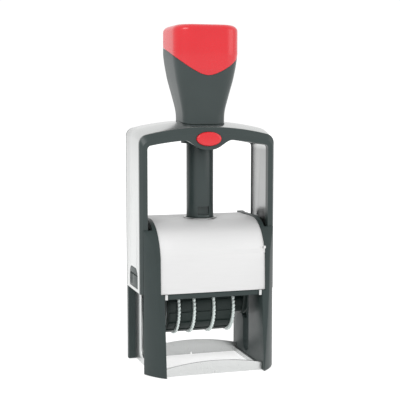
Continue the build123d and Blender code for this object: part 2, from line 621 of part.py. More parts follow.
core_half = GRIP_HALF_W - CAP_T
with BuildPart() as grip_core:
    with BuildSketch(Plane.XY.offset(CAP_LOW_Z - 2)):
        with Locations((0, AXIS_Y)):
            RectangleRounded(2 * core_half, 2 * core_half, GRIP_CORNER_R - CAP_T)
    extrude(amount=HANDLE_TOP - CAP_T - (CAP_LOW_Z - 2))

with BuildPart() as handle_cap:
    add(grip_body.part)
    add(cap_zone.part, mode=Mode.INTERSECT)
    add(grip_core.part, mode=Mode.SUBTRACT)
handle_cap.part.label = "handle_cap"
export_step(handle_cap.part, "parts/handle_cap.step")

with BuildPart() as handle_grip:
    add(grip_body.part)
    add(cap_zone.part, mode=Mode.SUBTRACT)
    add(grip_core.part & grip_body.part)
    with BuildSketch(Plane.XY.offset(HANDLE_FOOT_Z)):
        with Locations((0, AXIS_Y)):
            Circle(CAVITY_R)
    extrude(amount=CAVITY_TOP - HANDLE_FOOT_Z, mode=Mode.SUBTRACT)
    with BuildSketch(Plane.XY.offset(CAVITY_TOP)):
        with Locations((0, AXIS_Y)):
            Circle(ROD_R + 0.02)
    extrude(amount=2.5, mode=Mode.SUBTRACT)
handle_grip.part.label = "handle_grip"
export_step(handle_grip.part, "parts/handle_grip.step")

with BuildPart() as guide_rod:
    with BuildSketch(Plane.XY.offset(ROD_BOTTOM)):
        with Locations((0, AXIS_Y)):
            Circle(ROD_R)
    extrude(amount=CAVITY_TOP + 2.4 - ROD_BOTTOM)
    chamfer(guide_rod.edges().group_by(Axis.Z)[0], length=0.4)
guide_rod.part.label = "guide_rod"
export_step(guide_rod.part, "parts/guide_rod.step")

# ---------------------------------------------------------------- bow: pins, bushes and clips
pin_inner = CARRIER_HALF_W - CARRIER_WALL + SEAT_GAP
clip_inner = PLATE_OUT + 1.2
for side, sign in SIDES:
    with BuildPart() as pivot_clip:
        with BuildSketch(Plane.YZ.offset(sign * clip_inner)):
            notch_profile(CLIP_GAP)
        extrude(amount=sign * (BOW_HALF_W - 0.2 - clip_inner))
        with BuildSketch(Plane.YZ.offset(sign * clip_inner)):
            with Locations((AXIS_Y, PIVOT_Z)):
                Circle(PIN_R)
        extrude(amount=sign * (BOW_HALF_W - 1.2 - clip_inner), mode=Mode.SUBTRACT)
    pivot_clip.part.label = f"pivot_clip_{side}"
    export_step(pivot_clip.part, f"parts/pivot_clip_{side}.step")

    with BuildPart() as pivot_pin:
        with BuildSketch(Plane.YZ.offset(sign * pin_inner)):
            with Locations((AXIS_Y, PIVOT_Z)):
                Circle(PIN_R - 0.02)
        extrude(amount=sign * (BOW_HALF_W - 1.3 - pin_inner))
    pivot_pin.part.label = f"pivot_pin_{side}"
    export_step(pivot_pin.part, f"parts/pivot_pin_{side}.step")

    with BuildPart() as pivot_bush:
        with BuildSketch(Plane.YZ.offset(sign * (CARRIER_HALF_W + 0.3))):
            with Locations((AXIS_Y, PIVOT_Z)):
                Circle(BUSH_R)
                Circle(PIN_R, mode=Mode.SUBTRACT)
        extrude(amount=sign * (clip_inner - 0.05 - CARRIER_HALF_W - 0.3))
    pivot_bush.part.label = f"pivot_bush_{side}"
    export_step(pivot_bush.part, f"parts/pivot_bush_{side}.step")

# ---------------------------------------------------------------- lock button, bolt and spring
flange_back = STRAP_FRONT + 0.1 + 1.0
with BuildPart() as lock_button:
    with BuildSketch(Plane.XZ.offset(1.0 - flange_back)):
        with Locations((0, BUTTON_Z)):
            Ellipse(BUTTON_W / 2, BUTTON_H / 2)
    extrude(amount=flange_back - 1.0 + BOW_FRONT + BUTTON_PROUD)
    fillet(lock_button.faces().sort_by(Axis.Y)[0].edges(), radius=0.8)
    with BuildSketch(Plane.XZ.offset(-flange_back)):
        with Locations((0, BUTTON_Z)):
            Ellipse(BUTTON_W / 2 + 0.7, BUTTON_H / 2 - 0.05)
    extrude(amount=1.0)
lock_button.part.label = "lock_button"
export_step(lock_button.part, "parts/lock_button.step")

bolt_tip = AXIS_Y - COLUMN_R - 0.25
with BuildPart() as lock_bolt:
    with BuildSketch(Plane.XZ.offset(-bolt_tip)):
        with Locations((0, BUTTON_Z)):
            Rectangle(2 * BOLT_HALF_W, 2 * BOLT_HALF_H)
    extrude(amount=bolt_tip - flange_back)
lock_bolt.part.label = "lock_bolt"
export_step(lock_bolt.part, "parts/lock_bolt.step")

with BuildPart() as lock_spring:
    with BuildSketch(Plane.XZ.offset(-LOCK_POCKET_Y)):
        with Locations((0, BUTTON_Z)):
            Ellipse(BUTTON_W / 2 + 0.6, BUTTON_H / 2 - 0.1)
            Rectangle(2 * (BOLT_HALF_W + 0.4), 2 * (BOLT_HALF_H + 0.4), mode=Mode.SUBTRACT)
    extrude(amount=0.35)
lock_spring.part.label = "lock_spring"
export_step(lock_spring.part, "parts/lock_spring.step")

# ---------------------------------------------------------------- pad cassette
cassette_half_w = WINDOW_HALF_W - 0.4
pad_half_w = DIE_HALF_W + 0.6
pad_front = AXIS_Y - DIE_HALF_D - 1.0
pad_rear = AXIS_Y + DIE_HALF_D + 1.0
pad_seat_z = PAD_Z + PAD_T
with BuildPart() as pad_cassette:
    with BuildSketch(Plane.XY.offset(CASSETTE_Z)):
        with Locations((0, -CASSETTE_FRONT)):
            Rectangle(2 * cassette_half_w, CASSETTE_REAR + CASSETTE_FRONT, align=(Align.CENTER, Align.MIN))
    extrude(amount=CASSETTE_H)
    chamfer(pad_cassette.edges().filter_by(Axis.X).group_by(Axis.Y)[0].sort_by(Axis.Z)[-1], length=1.5)
    with BuildSketch(Plane.XY.offset(CASSETTE_Z)):
        with Locations((0, pad_front)):
            Rectangle(2 * pad_half_w, pad_rear - pad_front, align=(Align.CENTER, Align.MIN))
    extrude(amount=pad_seat_z - CASSETTE_Z, mode=Mode.SUBTRACT)
    for side, sign in SIDES:
        with BuildSketch(Plane.YZ.offset(sign * (WINDOW_HALF_W - RUNNER_W - PLAY))):
            with Locations((0, runner_centre_z)):
                Rectangle(4 * BASE_REAR, RUNNER_H + 2 * PLAY)
        extrude(amount=sign * 3, mode=Mode.SUBTRACT)
    # finger scoop in the rear face
    with BuildSketch(Plane.XZ.offset(-CASSETTE_REAR)):
        with Locations((0, CASSETTE_Z + CASSETTE_H / 2 - 0.6)):
            SlotOverall(18, 3.6)
    extrude(amount=1.2, mode=Mode.SUBTRACT)
pad_cassette.part.label = "pad_cassette"
export_step(pad_cassette.part, "parts/pad_cassette.step")

with BuildPart() as ink_pad:
    with BuildSketch(Plane.XY.offset(PAD_Z)):
        with Locations((0, AXIS_Y)):
            RectangleRounded(2 * (pad_half_w - 0.1), 2 * (DIE_HALF_D + 0.9), 0.6)
    extrude(amount=PAD_T)
ink_pad.part.label = "ink_pad"
export_step(ink_pad.part, "parts/ink_pad.step")

# ---------------------------------------------------------------- flip carrier
band_window_half = BAND_NOSE_HALF + 0.168 * DISC_R
window_left = BAND_LEFT - 0.3
window_right = BAND_RIGHT + 0.3
window_mid = (window_left + window_right) / 2
with BuildPart() as carrier_frame:
    for side, sign in SIDES:
        with BuildSketch(Plane.YZ.offset(sign * (CARRIER_HALF_W - CARRIER_WALL))):
            with BuildLine():
                Polyline((AXIS_Y - DIE_HALF_D + 1, PIVOT_Z + PLATE_BASE),
                         (AXIS_Y + DIE_HALF_D - 1, PIVOT_Z + PLATE_BASE),
                         (AXIS_Y + DIE_HALF_D - 1, PIVOT_Z + PLATE_BASE - BED_T),
                         (AXIS_Y + 5.5, ARBOR_Z), (AXIS_Y - 5.5, ARBOR_Z),
                         (AXIS_Y - DIE_HALF_D + 1, PIVOT_Z + PLATE_BASE - BED_T), close=True)
            make_face()
            with Locations((AXIS_Y, ARBOR_Z)):
                Circle(5.5)
            with Locations((AXIS_Y, PIVOT_Z)):
                Circle(PIN_R + RUN - 0.02, mode=Mode.SUBTRACT)
            with Locations((AXIS_Y, ARBOR_Z)):
                Circle(ARBOR_R, mode=Mode.SUBTRACT)
            with Locations((AXIS_Y, PIVOT_Z - CAM_ARM)):
                Circle(CAM_PIN_R, mode=Mode.SUBTRACT)
        extrude(amount=sign * CARRIER_WALL)
    with BuildSketch(Plane.XY.offset(PIVOT_Z + PLATE_BASE - BED_T)):
        with Locations((0, AXIS_Y)):
            Rectangle(2 * CARRIER_HALF_W, 2 * (DIE_HALF_D - 1))
        with Locations((window_mid, AXIS_Y)):
            Rectangle(window_right - window_left, 2 * band_window_half, mode=Mode.SUBTRACT)
    extrude(amount=BED_T)
carrier_frame.part.label = "carrier_frame"
export_step(carrier_frame.part, "parts/carrier_frame.step")

die_sheet_z = PIVOT_Z + DIE_LIFT - DIE_T
die_window_half = BAND_NOSE_HALF + 0.096 * DISC_R
with BuildPart() as text_plate:
    with BuildSketch(Plane.XY.offset(PIVOT_Z + PLATE_BASE)):
        with Locations((0, AXIS_Y)):
            RectangleRounded(2 * DIE_HALF_W, 2 * DIE_HALF_D, 0.8)
        with Locations((window_mid, AXIS_Y)):
            Rectangle(window_right - window_left, 2 * die_window_half, mode=Mode.SUBTRACT)
    extrude(amount=DIE_LIFT - DIE_T - PLATE_BASE)
text_plate.part.label = "text_plate"
export_step(text_plate.part, "parts/text_plate.step")

bar_rows = (-DIE_HALF_D + 2.9, -DIE_HALF_D + 5.3, DIE_HALF_D - 5.3, DIE_HALF_D - 2.9)
with BuildPart() as text_die:
    with BuildSketch(Plane.XY.offset(die_sheet_z)):
        with Locations((0, AXIS_Y)):
            Rectangle(2 * DIE_HALF_W - 1.0, 2 * DIE_HALF_D - 1.0)
        with Locations((window_mid, AXIS_Y)):
            Rectangle(window_right - window_left, 2 * die_window_half, mode=Mode.SUBTRACT)
    extrude(amount=DIE_T / 2)
    # generic raised border and bars, no lettering
    with BuildSketch(Plane.XY.offset(die_sheet_z + DIE_T / 2)):
        with Locations((0, AXIS_Y)):
            Rectangle(2 * DIE_HALF_W - 1.4, 2 * DIE_HALF_D - 1.4)
            Rectangle(2 * DIE_HALF_W - 2.6, 2 * DIE_HALF_D - 2.6, mode=Mode.SUBTRACT)
        for row, y in enumerate(bar_rows):
            with Locations((0, AXIS_Y + y)):
                Rectangle(34.0 - 6.0 * (row % 2), 1.4)
    extrude(amount=DIE_T / 2)
text_die.part.label = "text_die"
export_step(text_die.part, "parts/text_die.step")

BRIDGE_NOSE_HALF = BAND_NOSE_HALF - BAND_T - PLAY - 0.25
nose_top = PIVOT_Z + DIE_LIFT - 0.4 - BAND_T - 0.2
with BuildPart() as date_bridge:
    with BuildSketch(Plane.YZ.offset(-CARRIER_HALF_W + CARRIER_WALL)):
        with Locations((AXIS_Y, ARBOR_Z + DISC_R)):
            Rectangle(2 * BRIDGE_NOSE_HALF, PIVOT_Z + PLATE_BASE - BED_T - 0.1 - ARBOR_Z - DISC_R,
                      align=(Align.CENTER, Align.MIN))
    extrude(amount=2 * (CARRIER_HALF_W - CARRIER_WALL))
    with BuildSketch(Plane.YZ.offset(BAND_LEFT)):
        with Locations((AXIS_Y, PIVOT_Z)):
            Rectangle(2 * BRIDGE_NOSE_HALF, nose_top - PIVOT_Z, align=(Align.CENTER, Align.MIN))
    extrude(amount=BAND_RIGHT - BAND_LEFT)
date_bridge.part.label = "date_bridge"
export_step(date_bridge.part, "parts/date_bridge.step")


def band_outline(wheel_r, nose_half, nose_z):
    """Belt outline round a wheel at the arbor and a narrow nose at the die."""
    rise = nose_z - nose_half - ARBOR_Z
    turn = (wheel_r - nose_half) / rise
    with BuildLine() as outline:
        ThreePointArc((AXIS_Y - wheel_r * cos(turn), ARBOR_Z + wheel_r * sin(turn)),
                      (AXIS_Y, ARBOR_Z - wheel_r),
                      (AXIS_Y + wheel_r * cos(turn), ARBOR_Z + wheel_r * sin(turn)))
        Line((AXIS_Y + wheel_r * cos(turn), ARBOR_Z + wheel_r * sin(turn)),
             (AXIS_Y + nose_half, nose_z - nose_half / 2))
        Line((AXIS_Y + nose_half, nose_z - nose_half / 2), (AXIS_Y + nose_half * 0.7, nose_z))
        Line((AXIS_Y + nose_half * 0.7, nose_z), (AXIS_Y - nose_half * 0.7, nose_z))
        Line((AXIS_Y - nose_half * 0.7, nose_z), (AXIS_Y - nose_half, nose_z - nose_half / 2))
        Line((AXIS_Y - nose_half, nose_z - nose_half / 2),
             (AXIS_Y - wheel_r * cos(turn), ARBOR_Z + wheel_r * sin(turn)))
    make_face(outline.line)


# ---------------------------------------------------------------- date bands and thumb wheels
band_starts = [BAND_LEFT] + [x + DISC_T / 2 + SEAT_GAP for x in DISC_X[:-1]]
band_nose_z = PIVOT_Z + DIE_LIFT - 0.4
for number, (start, disc_x) in enumerate(zip(band_starts, DISC_X), start=1):
    band_w = disc_x - DISC_T / 2 - SEAT_GAP - start
    with BuildPart() as date_band:
        with BuildSketch(Plane.YZ.offset(start)):
            band_outline(BAND_R, BAND_NOSE_HALF, band_nose_z)
        extrude(amount=band_w)
        with BuildSketch(Plane.YZ.offset(start)):
            band_outline(BAND_R - BAND_T, BAND_NOSE_HALF - BAND_T, band_nose_z - BAND_T)
        extrude(amount=band_w, mode=Mode.SUBTRACT)
        # raised figure block on the nose, blank
        with BuildSketch(Plane.XY.offset(band_nose_z)):
            with Locations((start + band_w / 2, AXIS_Y)):
                Rectangle(band_w - 1.0, 3.2)
        extrude(amount=0.4)
    date_band.part.label = f"date_band_{number}"
    export_step(date_band.part, f"parts/date_band_{number}.step")

    with BuildPart() as thumb_wheel:
        with BuildSketch(Plane.YZ.offset(disc_x - DISC_T / 2)):
            with BuildLine():
                tips = []
                for tooth in range(TOOTH_COUNT):
                    for share, radius in ((0.0, DISC_R - TOOTH_H), (0.25, DISC_R), (0.6, DISC_R),
                                          (0.85, DISC_R - TOOTH_H)):
                        angle = 2 * pi * (tooth + share) / TOOTH_COUNT
                        tips.append((AXIS_Y + radius * cos(angle), ARBOR_Z + radius * sin(angle)))
                Polyline(*tips, close=True)
            make_face()
        extrude(amount=DISC_T)
        with BuildSketch(Plane.YZ.offset(start + 0.1)):
            with Locations((AXIS_Y, ARBOR_Z)):
                Circle(DRUM_R)
        extrude(amount=disc_x - start - 0.1)
        with BuildSketch(Plane.YZ.offset(start)):
            with Locations((AXIS_Y, ARBOR_Z)):
                Circle(ARBOR_R + RUN)
        extrude(amount=disc_x + DISC_T - start, mode=Mode.SUBTRACT)
    thumb_wheel.part.label = f"thumb_wheel_{number}"
    export_step(thumb_wheel.part, f"parts/thumb_wheel_{number}.step")

with BuildPart() as wheel_arbor:
    with BuildSketch(Plane.YZ.offset(-CARRIER_HALF_W - 0.3)):
        with Locations((AXIS_Y, ARBOR_Z)):
            Circle(ARBOR_R - 0.01)
    extrude(amount=2 * (CARRIER_HALF_W + 0.3))
wheel_arbor.part.label = "wheel_arbor"
export_step(wheel_arbor.part, "parts/wheel_arbor.step")

with BuildPart() as arbor_spacer:
    with BuildSketch(Plane.YZ.offset(DISC_X[-1] + DISC_T / 2 + SEAT_GAP)):
        with Locations((AXIS_Y, ARBOR_Z)):
            Circle(SPACER_R)
            Circle(ARBOR_R + 0.02, mode=Mode.SUBTRACT)
    extrude(amount=CARRIER_HALF_W - CARRIER_WALL - DISC_X[-1] - DISC_T / 2 - SEAT_GAP)
arbor_spacer.part.label = "arbor_spacer"
export_step(arbor_spacer.part, "parts/arbor_spacer.step")

cam_pin_length = WINDOW_HALF_W + CAM_DEPTH - PLAY - (CARRIER_HALF_W - CARRIER_WALL)
for side, sign in SIDES:
    with BuildPart() as cam_pin:
        with BuildSketch(Plane.YZ.offset(sign * (CARRIER_HALF_W - CARRIER_WALL))):
            with Locations((AXIS_Y, PIVOT_Z - CAM_ARM)):
                Circle(CAM_PIN_R - 0.01)
        extrude(amount=sign * cam_pin_length)
    cam_pin.part.label = f"cam_pin_{side}"
    export_step(cam_pin.part, f"parts/cam_pin_{side}.step")
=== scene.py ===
"""Looks of a self-inking date stamp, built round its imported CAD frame.

Every length in the classes is in millimetres; Bench turns them into metres.
"""
import json
import logging
import math
from dataclasses import dataclass
from enum import Enum
from typing import Callable, Sequence

import bmesh
import bpy
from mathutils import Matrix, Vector


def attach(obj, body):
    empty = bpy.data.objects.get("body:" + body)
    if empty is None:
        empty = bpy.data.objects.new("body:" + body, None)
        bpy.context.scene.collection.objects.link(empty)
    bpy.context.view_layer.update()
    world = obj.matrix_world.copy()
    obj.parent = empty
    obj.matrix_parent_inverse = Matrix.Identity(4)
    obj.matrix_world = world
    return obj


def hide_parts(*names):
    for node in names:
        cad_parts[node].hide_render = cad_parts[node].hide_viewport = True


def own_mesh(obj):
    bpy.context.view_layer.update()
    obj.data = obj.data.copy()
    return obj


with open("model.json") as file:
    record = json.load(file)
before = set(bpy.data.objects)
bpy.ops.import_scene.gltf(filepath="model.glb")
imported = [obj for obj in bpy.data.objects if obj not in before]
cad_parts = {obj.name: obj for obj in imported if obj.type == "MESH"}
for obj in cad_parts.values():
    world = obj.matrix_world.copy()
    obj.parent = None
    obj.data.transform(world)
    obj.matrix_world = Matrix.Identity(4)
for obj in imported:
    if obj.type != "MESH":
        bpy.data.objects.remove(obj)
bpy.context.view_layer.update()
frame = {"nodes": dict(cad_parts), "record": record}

log = logging.getLogger("stamp")
MM = 0.001
Point2 = tuple[float, float]
Point3 = tuple[float, float, float]
Piece = bpy.types.Object


class Side(Enum):
    """The two sides of the stamp, with the sign of x on each."""
    LEFT = -1
    RIGHT = 1

    @property
    def word(self) -> str:
        """Name of the side as the nodes spell it."""
        return self.name.lower()


class Plane(Enum):
    """Drawing planes; each maps a flat point and a level to space."""
    FRONT = "xz"
    PROFILE = "yz"
    TOP = "xy"

    def place(self, point: Point2, level: float) -> Vector:
        """Point of this plane in metres.

        Args:
            point: the two flat coordinates, in millimetres.
            level: distance along the plane's normal axis.

        Returns:
            The place in the object's frame.
        """
        a, b = point
        spots = {Plane.FRONT: (a, level, b), Plane.PROFILE: (level, a, b), Plane.TOP: (a, b, level)}
        return Vector(spots[self]) * MM

    def push(self, depth: float) -> Vector:
        """Vector along this plane's normal axis, depth millimetres long."""
        return self.place((0.0, 0.0), depth)


class Cut(Enum):
    """Ways in which one solid acts on another."""
    REMOVE = "DIFFERENCE"
    KEEP = "INTERSECT"
    JOIN = "UNION"


def arc(centre: Point2, radius: float, start: float, stop: float, steps: int) -> list[Point2]:
    """Points along a circle.

    Args:
        centre: middle of the circle.
        radius: its radius.
        start: first angle in degrees.
        stop: last angle in degrees.
        steps: number of chords.

    Returns:
        steps + 1 points, both ends included.
    """
    turns = (math.radians(start + (stop - start) * step / steps) for step in range(steps + 1))
    return [(centre[0] + radius * math.cos(turn), centre[1] + radius * math.sin(turn)) for turn in turns]


def crown(half_w: float, top: float, radius: float, corner_r: float, steps: int = 28) -> list[Point2]:
    """Arch line from the left to the right side: rounded corner, crowned top, rounded corner.

    Args:
        half_w: half the width of the arch.
        top: height of the crown.
        radius: radius of the crown.
        corner_r: radius of the two corners.
        steps: chords along the crown.

    Returns:
        The points of the line.
    """
    centre_z = top - radius
    corner_x = half_w - corner_r
    corner_z = centre_z + math.sqrt((radius - corner_r) ** 2 - corner_x ** 2)
    lean = math.degrees(math.atan2(corner_z - centre_z, corner_x))
    left = arc((-corner_x, corner_z), corner_r, 180.0, 180.0 - lean, 8)
    over = arc((0.0, centre_z), radius, 180.0 - lean, lean, steps)
    right = arc((corner_x, corner_z), corner_r, lean, 0.0, 8)
    return left + over[1:-1] + right


def rounded_box(half: Point2, corner_r: float, centre_y: float, steps: int = 8) -> list[Point2]:
    """Closed outline of a box seen from above, with round corners, anticlockwise.

    Args:
        half: half width and half depth.
        corner_r: radius of the corners.
        centre_y: middle of its depth.
        steps: chords per corner.

    Returns:
        The points of the outline.
    """
    outline: list[Point2] = []
    for quarter, (sx, sy) in enumerate(((1, 1), (-1, 1), (-1, -1), (1, -1))):
        centre = (sx * (half[0] - corner_r), centre_y + sy * (half[1] - corner_r))
        outline += arc(centre, corner_r, 90.0 * quarter, 90.0 * quarter + 90.0, steps)
    return outline


def oval(half_a: float, half_b: float, centre: Point2, steps: int = 48) -> list[Point2]:
    """Closed outline of an ellipse.

    Args:
        half_a: half its first measure.
        half_b: half its second measure.
        centre: its middle.
        steps: number of points.

    Returns:
        The points, anticlockwise.
    """
    return [(centre[0] + half_a * x, centre[1] + half_b * y)
            for x, y in arc((0.0, 0.0), 1.0, 0.0, 360.0, steps)[:-1]]


def smooth_value(z: float, stations: Sequence[Point2]) -> float:
    """Value at z on a smooth line through stations of (z, value)."""
    for index in range(len(stations) - 1):
        (z0, v0), (z1, v1) = stations[index], stations[index + 1]
        if z <= z1:
            before = stations[max(index - 1, 0)]
            after = stations[min(index + 2, len(stations) - 1)]
            slope0 = (v1 - before[1]) / (z1 - before[0])
            slope1 = (after[1] - v0) / (after[0] - z0)
            t, span = (z - z0) / (z1 - z0), z1 - z0
            return ((2 * t ** 3 - 3 * t ** 2 + 1) * v0 + (t ** 3 - 2 * t ** 2 + t) * span * slope0
                    + (3 * t ** 2 - 2 * t ** 3) * v1 + (t ** 3 - t ** 2) * span * slope1)
    return stations[-1][1]


class Bench:
    """The few moves that every piece is made with."""

    @staticmethod
    def clear() -> None:
        """Back to object mode with nothing selected."""
        if bpy.context.object and bpy.context.object.mode != "OBJECT":
            bpy.ops.object.mode_set(mode="OBJECT")
        bpy.ops.object.select_all(action="DESELECT")

    @staticmethod
    def take(piece: Piece) -> None:
        """Makes piece the one selected, active object."""
        Bench.clear()
        piece.select_set(True)
        bpy.context.view_layer.objects.active = piece

    @staticmethod
    def edit(piece: Piece, mode: str = "FACE", whole: bool = False) -> None:
        """Opens piece for editing.

        Args:
            piece: the object.
            mode: what is picked: VERT, EDGE or FACE.
            whole: whether all of it is selected, or nothing.
        """
        Bench.take(piece)
        bpy.ops.object.mode_set(mode="EDIT")
        bpy.ops.mesh.select_mode(type=mode)
        bpy.ops.mesh.select_all(action="SELECT" if whole else "DESELECT")

    @staticmethod
    def fill() -> None:
        """Closes a ring of vertices with one face, in edit mode."""
        bpy.ops.mesh.select_all(action="SELECT")
        bpy.ops.mesh.edge_face_add()

    @staticmethod
    def pull(move: Vector) -> None:
        """Extrudes what is selected by a move in metres, in edit mode."""
        bpy.ops.mesh.extrude_region_move(TRANSFORM_OT_translate={"value": move})

    @staticmethod
    def close() -> None:
        """Leaves editing."""
        bpy.ops.object.mode_set(mode="OBJECT")

    @staticmethod
    def pick_faces(piece: Piece, test: Callable[[Vector, Vector], bool]) -> None:
        """Selects the faces that pass a test, in edit mode.

        Args:
            piece: the object being edited.
            test: takes a face's centre in millimetres and its normal.
        """
        mesh = bmesh.from_edit_mesh(piece.data)
        for face in mesh.faces:
            face.select_set(test(face.calc_center_median() / MM, face.normal))
        bmesh.update_edit_mesh(piece.data)

    @staticmethod
    def pick_points(piece: Piece, test: Callable[[Vector], bool]) -> None:
        """Selects the vertices whose place, in millimetres, passes a test, in edit mode."""
        mesh = bmesh.from_edit_mesh(piece.data)
        for vert in mesh.verts:
            vert.select_set(test(vert.co / MM))
        mesh.select_flush(True)
        bmesh.update_edit_mesh(piece.data)

    @staticmethod
    def outward(piece: Piece) -> None:
        """Turns all faces of a closed piece outwards."""
        Bench.edit(piece, whole=True)
        bpy.ops.mesh.remove_doubles(threshold=1e-6)
        bpy.ops.mesh.normals_make_consistent(inside=False)
        Bench.close()

    @staticmethod
    def wire(name: str, points: Sequence[Point2], plane: Plane, level: float) -> Piece:
        """Draws an open line of vertices, one extrusion after another.

        Args:
            name: name of the new piece.
            points: flat points, in millimetres.
            plane: the plane they lie in.
            level: place of that plane.

        Returns:
            The new object, left in edit mode with its last vertex selected.
        """
        Bench.clear()
        bpy.ops.mesh.primitive_plane_add(size=MM)
        piece = bpy.context.object
        piece.name = name
        Bench.edit(piece, "VERT", whole=True)
        bpy.ops.mesh.merge(type="CENTER")
        spots = [plane.place(point, level) for point in points]
        bpy.ops.transform.translate(value=spots[0])
        for here, there in zip(spots, spots[1:]):
            bpy.ops.mesh.extrude_vertices_move(TRANSFORM_OT_translate={"value": there - here})
        return piece

    @staticmethod
    def solid(name: str, points: Sequence[Point2], plane: Plane, level: float, depth: float) -> Piece:
        """Draws a closed outline, fills it and pushes it to a solid.

        Args:
            name: name of the new piece.
            points: closed outline, in millimetres.
            plane: the plane it is drawn in.
            level: place of that plane.
            depth: how far it is pushed along the plane's axis.

        Returns:
            The new solid.
        """
        piece = Bench.wire(name, points, plane, level)
        Bench.fill()
        Bench.pull(plane.push(depth))
        Bench.close()
        Bench.outward(piece)
        return piece

    @staticmethod
    def tower(name: str, base: Sequence[Point2], stations: Sequence[Point2], centre: Point2,
              plane: Plane = Plane.TOP) -> Piece:
        """Raises an outline through stations, scaling it at each.

        Args:
            name: name of the new piece.
            base: closed outline at the first station.
            stations: pairs of level and scale against the base.
            centre: flat point that the outline is scaled about.
            plane: plane of the outline.

        Returns:
            The closed solid.
        """
        piece = Bench.wire(name, base, plane, stations[0][0])
        Bench.fill()
        along = plane.push(1.0).normalized()
        for (level0, scale0), (level1, scale1) in zip(stations, stations[1:]):
            Bench.pull(plane.push(level1 - level0))
            scale = [1.0 if abs(axis) > 0.5 else scale1 / scale0 for axis in along]
            bpy.ops.transform.resize(value=scale, center_override=plane.place(centre, level1))
        Bench.close()
        Bench.outward(piece)
        return piece

    @staticmethod
    def lathe(name: str, profile: Sequence[Point2], axis_y: float, steps: int = 72) -> Piece:
        """Spins a closed profile once round an upright line.

        Args:
            name: name of the new piece.
            profile: pairs of radius and height.
            axis_y: where the line stands on x = 0.
            steps: number of flats round it.

        Returns:
            The closed solid.
        """
        piece = Bench.wire(name, profile, Plane.FRONT, axis_y)
        Bench.fill()
        bpy.ops.mesh.delete(type="ONLY_FACE")
        bpy.ops.mesh.select_all(action="SELECT")
        bpy.ops.mesh.spin(steps=steps, angle=math.tau, center=Plane.TOP.place((0.0, axis_y), 0.0),
                          axis=(0.0, 0.0, 1.0))
        Bench.close()
        Bench.outward(piece)
        return piece

    @staticmethod
    def refine(node: str, soft: float, angle: float = 34.0) -> Piece:
        """Copy of a CAD node with its triangles joined up and its edges eased.

        Args:
            node: name of the CAD node.
            soft: width of the eased edges, in millimetres; 0 leaves them sharp.
            angle: smoothing angle in degrees.

        Returns:
            The new piece, named after the node.
        """
        piece = bpy.data.objects.new(node + "_shaped", frame["nodes"][node].data.copy())
        bpy.context.scene.collection.objects.link(piece)
        piece.data.materials.clear()
        Bench.edit(piece, whole=True)
        bpy.ops.mesh.customdata_custom_splitnormals_clear()
        bpy.ops.mesh.remove_doubles(threshold=2e-6)
        bpy.ops.mesh.dissolve_limited(angle_limit=math.radians(0.6))
        bpy.ops.mesh.normals_make_consistent(inside=False)
        Bench.close()
        if soft:
            Bench.ease(piece, soft, 2, angle)
        Bench.smooth(piece, angle)
        return piece

    @staticmethod
    def drum(name: str, radius: float, centre: Point3, length: float, plane: Plane, sides: int = 64) -> Piece:
        """Round bar.

        Args:
            name: name of the new piece.
            radius: its radius.
            centre: middle of its first end.
            length: how far it runs along the plane's axis.
            plane: plane of its ends.
            sides: number of flats round it.

        Returns:
            The closed solid.
        """
        x, y, z = centre
        flat, level = {Plane.FRONT: ((x, z), y), Plane.PROFILE: ((y, z), x), Plane.TOP: ((x, y), z)}[plane]
        return Bench.solid(name, arc(flat, radius, 0.0, 360.0, sides)[:-1], plane, level, length)

    @staticmethod
    def block(name: str, low: Point3, high: Point3) -> Piece:
        """Box between two corners, as a tool for cutting or joining."""
        outline = [(low[0], low[1]), (high[0], low[1]), (high[0], high[1]), (low[0], high[1])]
        return Bench.solid(name, outline, Plane.TOP, low[2], high[2] - low[2])

    @staticmethod
    def act(piece: Piece, tool: Piece, cut: Cut = Cut.REMOVE) -> None:
        """Applies a tool solid to a piece and throws the tool away."""
        Bench.take(piece)
        change = piece.modifiers.new("cut", "BOOLEAN")
        change.operation = cut.value
        change.solver = "EXACT"
        change.object = tool
        bpy.ops.object.modifier_apply(modifier=change.name)
        bpy.data.objects.remove(tool, do_unlink=True)

    @staticmethod
    def ease(piece: Piece, width: float, segments: int = 2, angle: float = 35.0) -> None:
        """Rounds the sharp edges of a piece.

        Args:
            piece: the object.
            width: width of the rounding, in millimetres.
            segments: rows of faces in it.
            angle: edges sharper than this, in degrees, are rounded.
        """
        Bench.take(piece)
        change = piece.modifiers.new("ease", "BEVEL")
        change.width = width * MM
        change.segments = segments
        change.limit_method = "ANGLE"
        change.angle_limit = math.radians(angle)
        change.use_clamp_overlap = True
        change.harden_normals = False
        bpy.ops.object.modifier_apply(modifier=change.name)

    @staticmethod
    def smooth(piece: Piece, angle: float = 34.0) -> None:
        """Shades smooth across edges flatter than angle degrees."""
        Bench.take(piece)
        bpy.ops.object.shade_smooth_by_angle(angle=math.radians(angle))

    @staticmethod
    def slice(piece: Piece, plane: Plane, level: float) -> None:
        """Cuts new edges into a piece where a plane crosses it."""
        Bench.edit(piece, whole=True)
        bpy.ops.mesh.bisect(plane_co=plane.push(level), plane_no=plane.push(1.0).normalized())
        Bench.close()

    @staticmethod
    def copy(piece: Piece, name: str) -> Piece:
        """Copies a piece with its own mesh."""
        Bench.take(piece)
        bpy.ops.object.duplicate(linked=False)
        twin = bpy.context.object
        twin.name = name
        return twin

    @staticmethod
    def mirror_x(piece: Piece, name: str) -> Piece:
        """Mirror copy across x = 0, with its faces turned outwards again."""
        twin = Bench.copy(piece, name)
        Bench.edit(twin, whole=True)
        bpy.ops.transform.resize(value=(-1.0, 1.0, 1.0), center_override=(0.0, 0.0, 0.0))
        bpy.ops.mesh.flip_normals()
        Bench.close()
        return twin


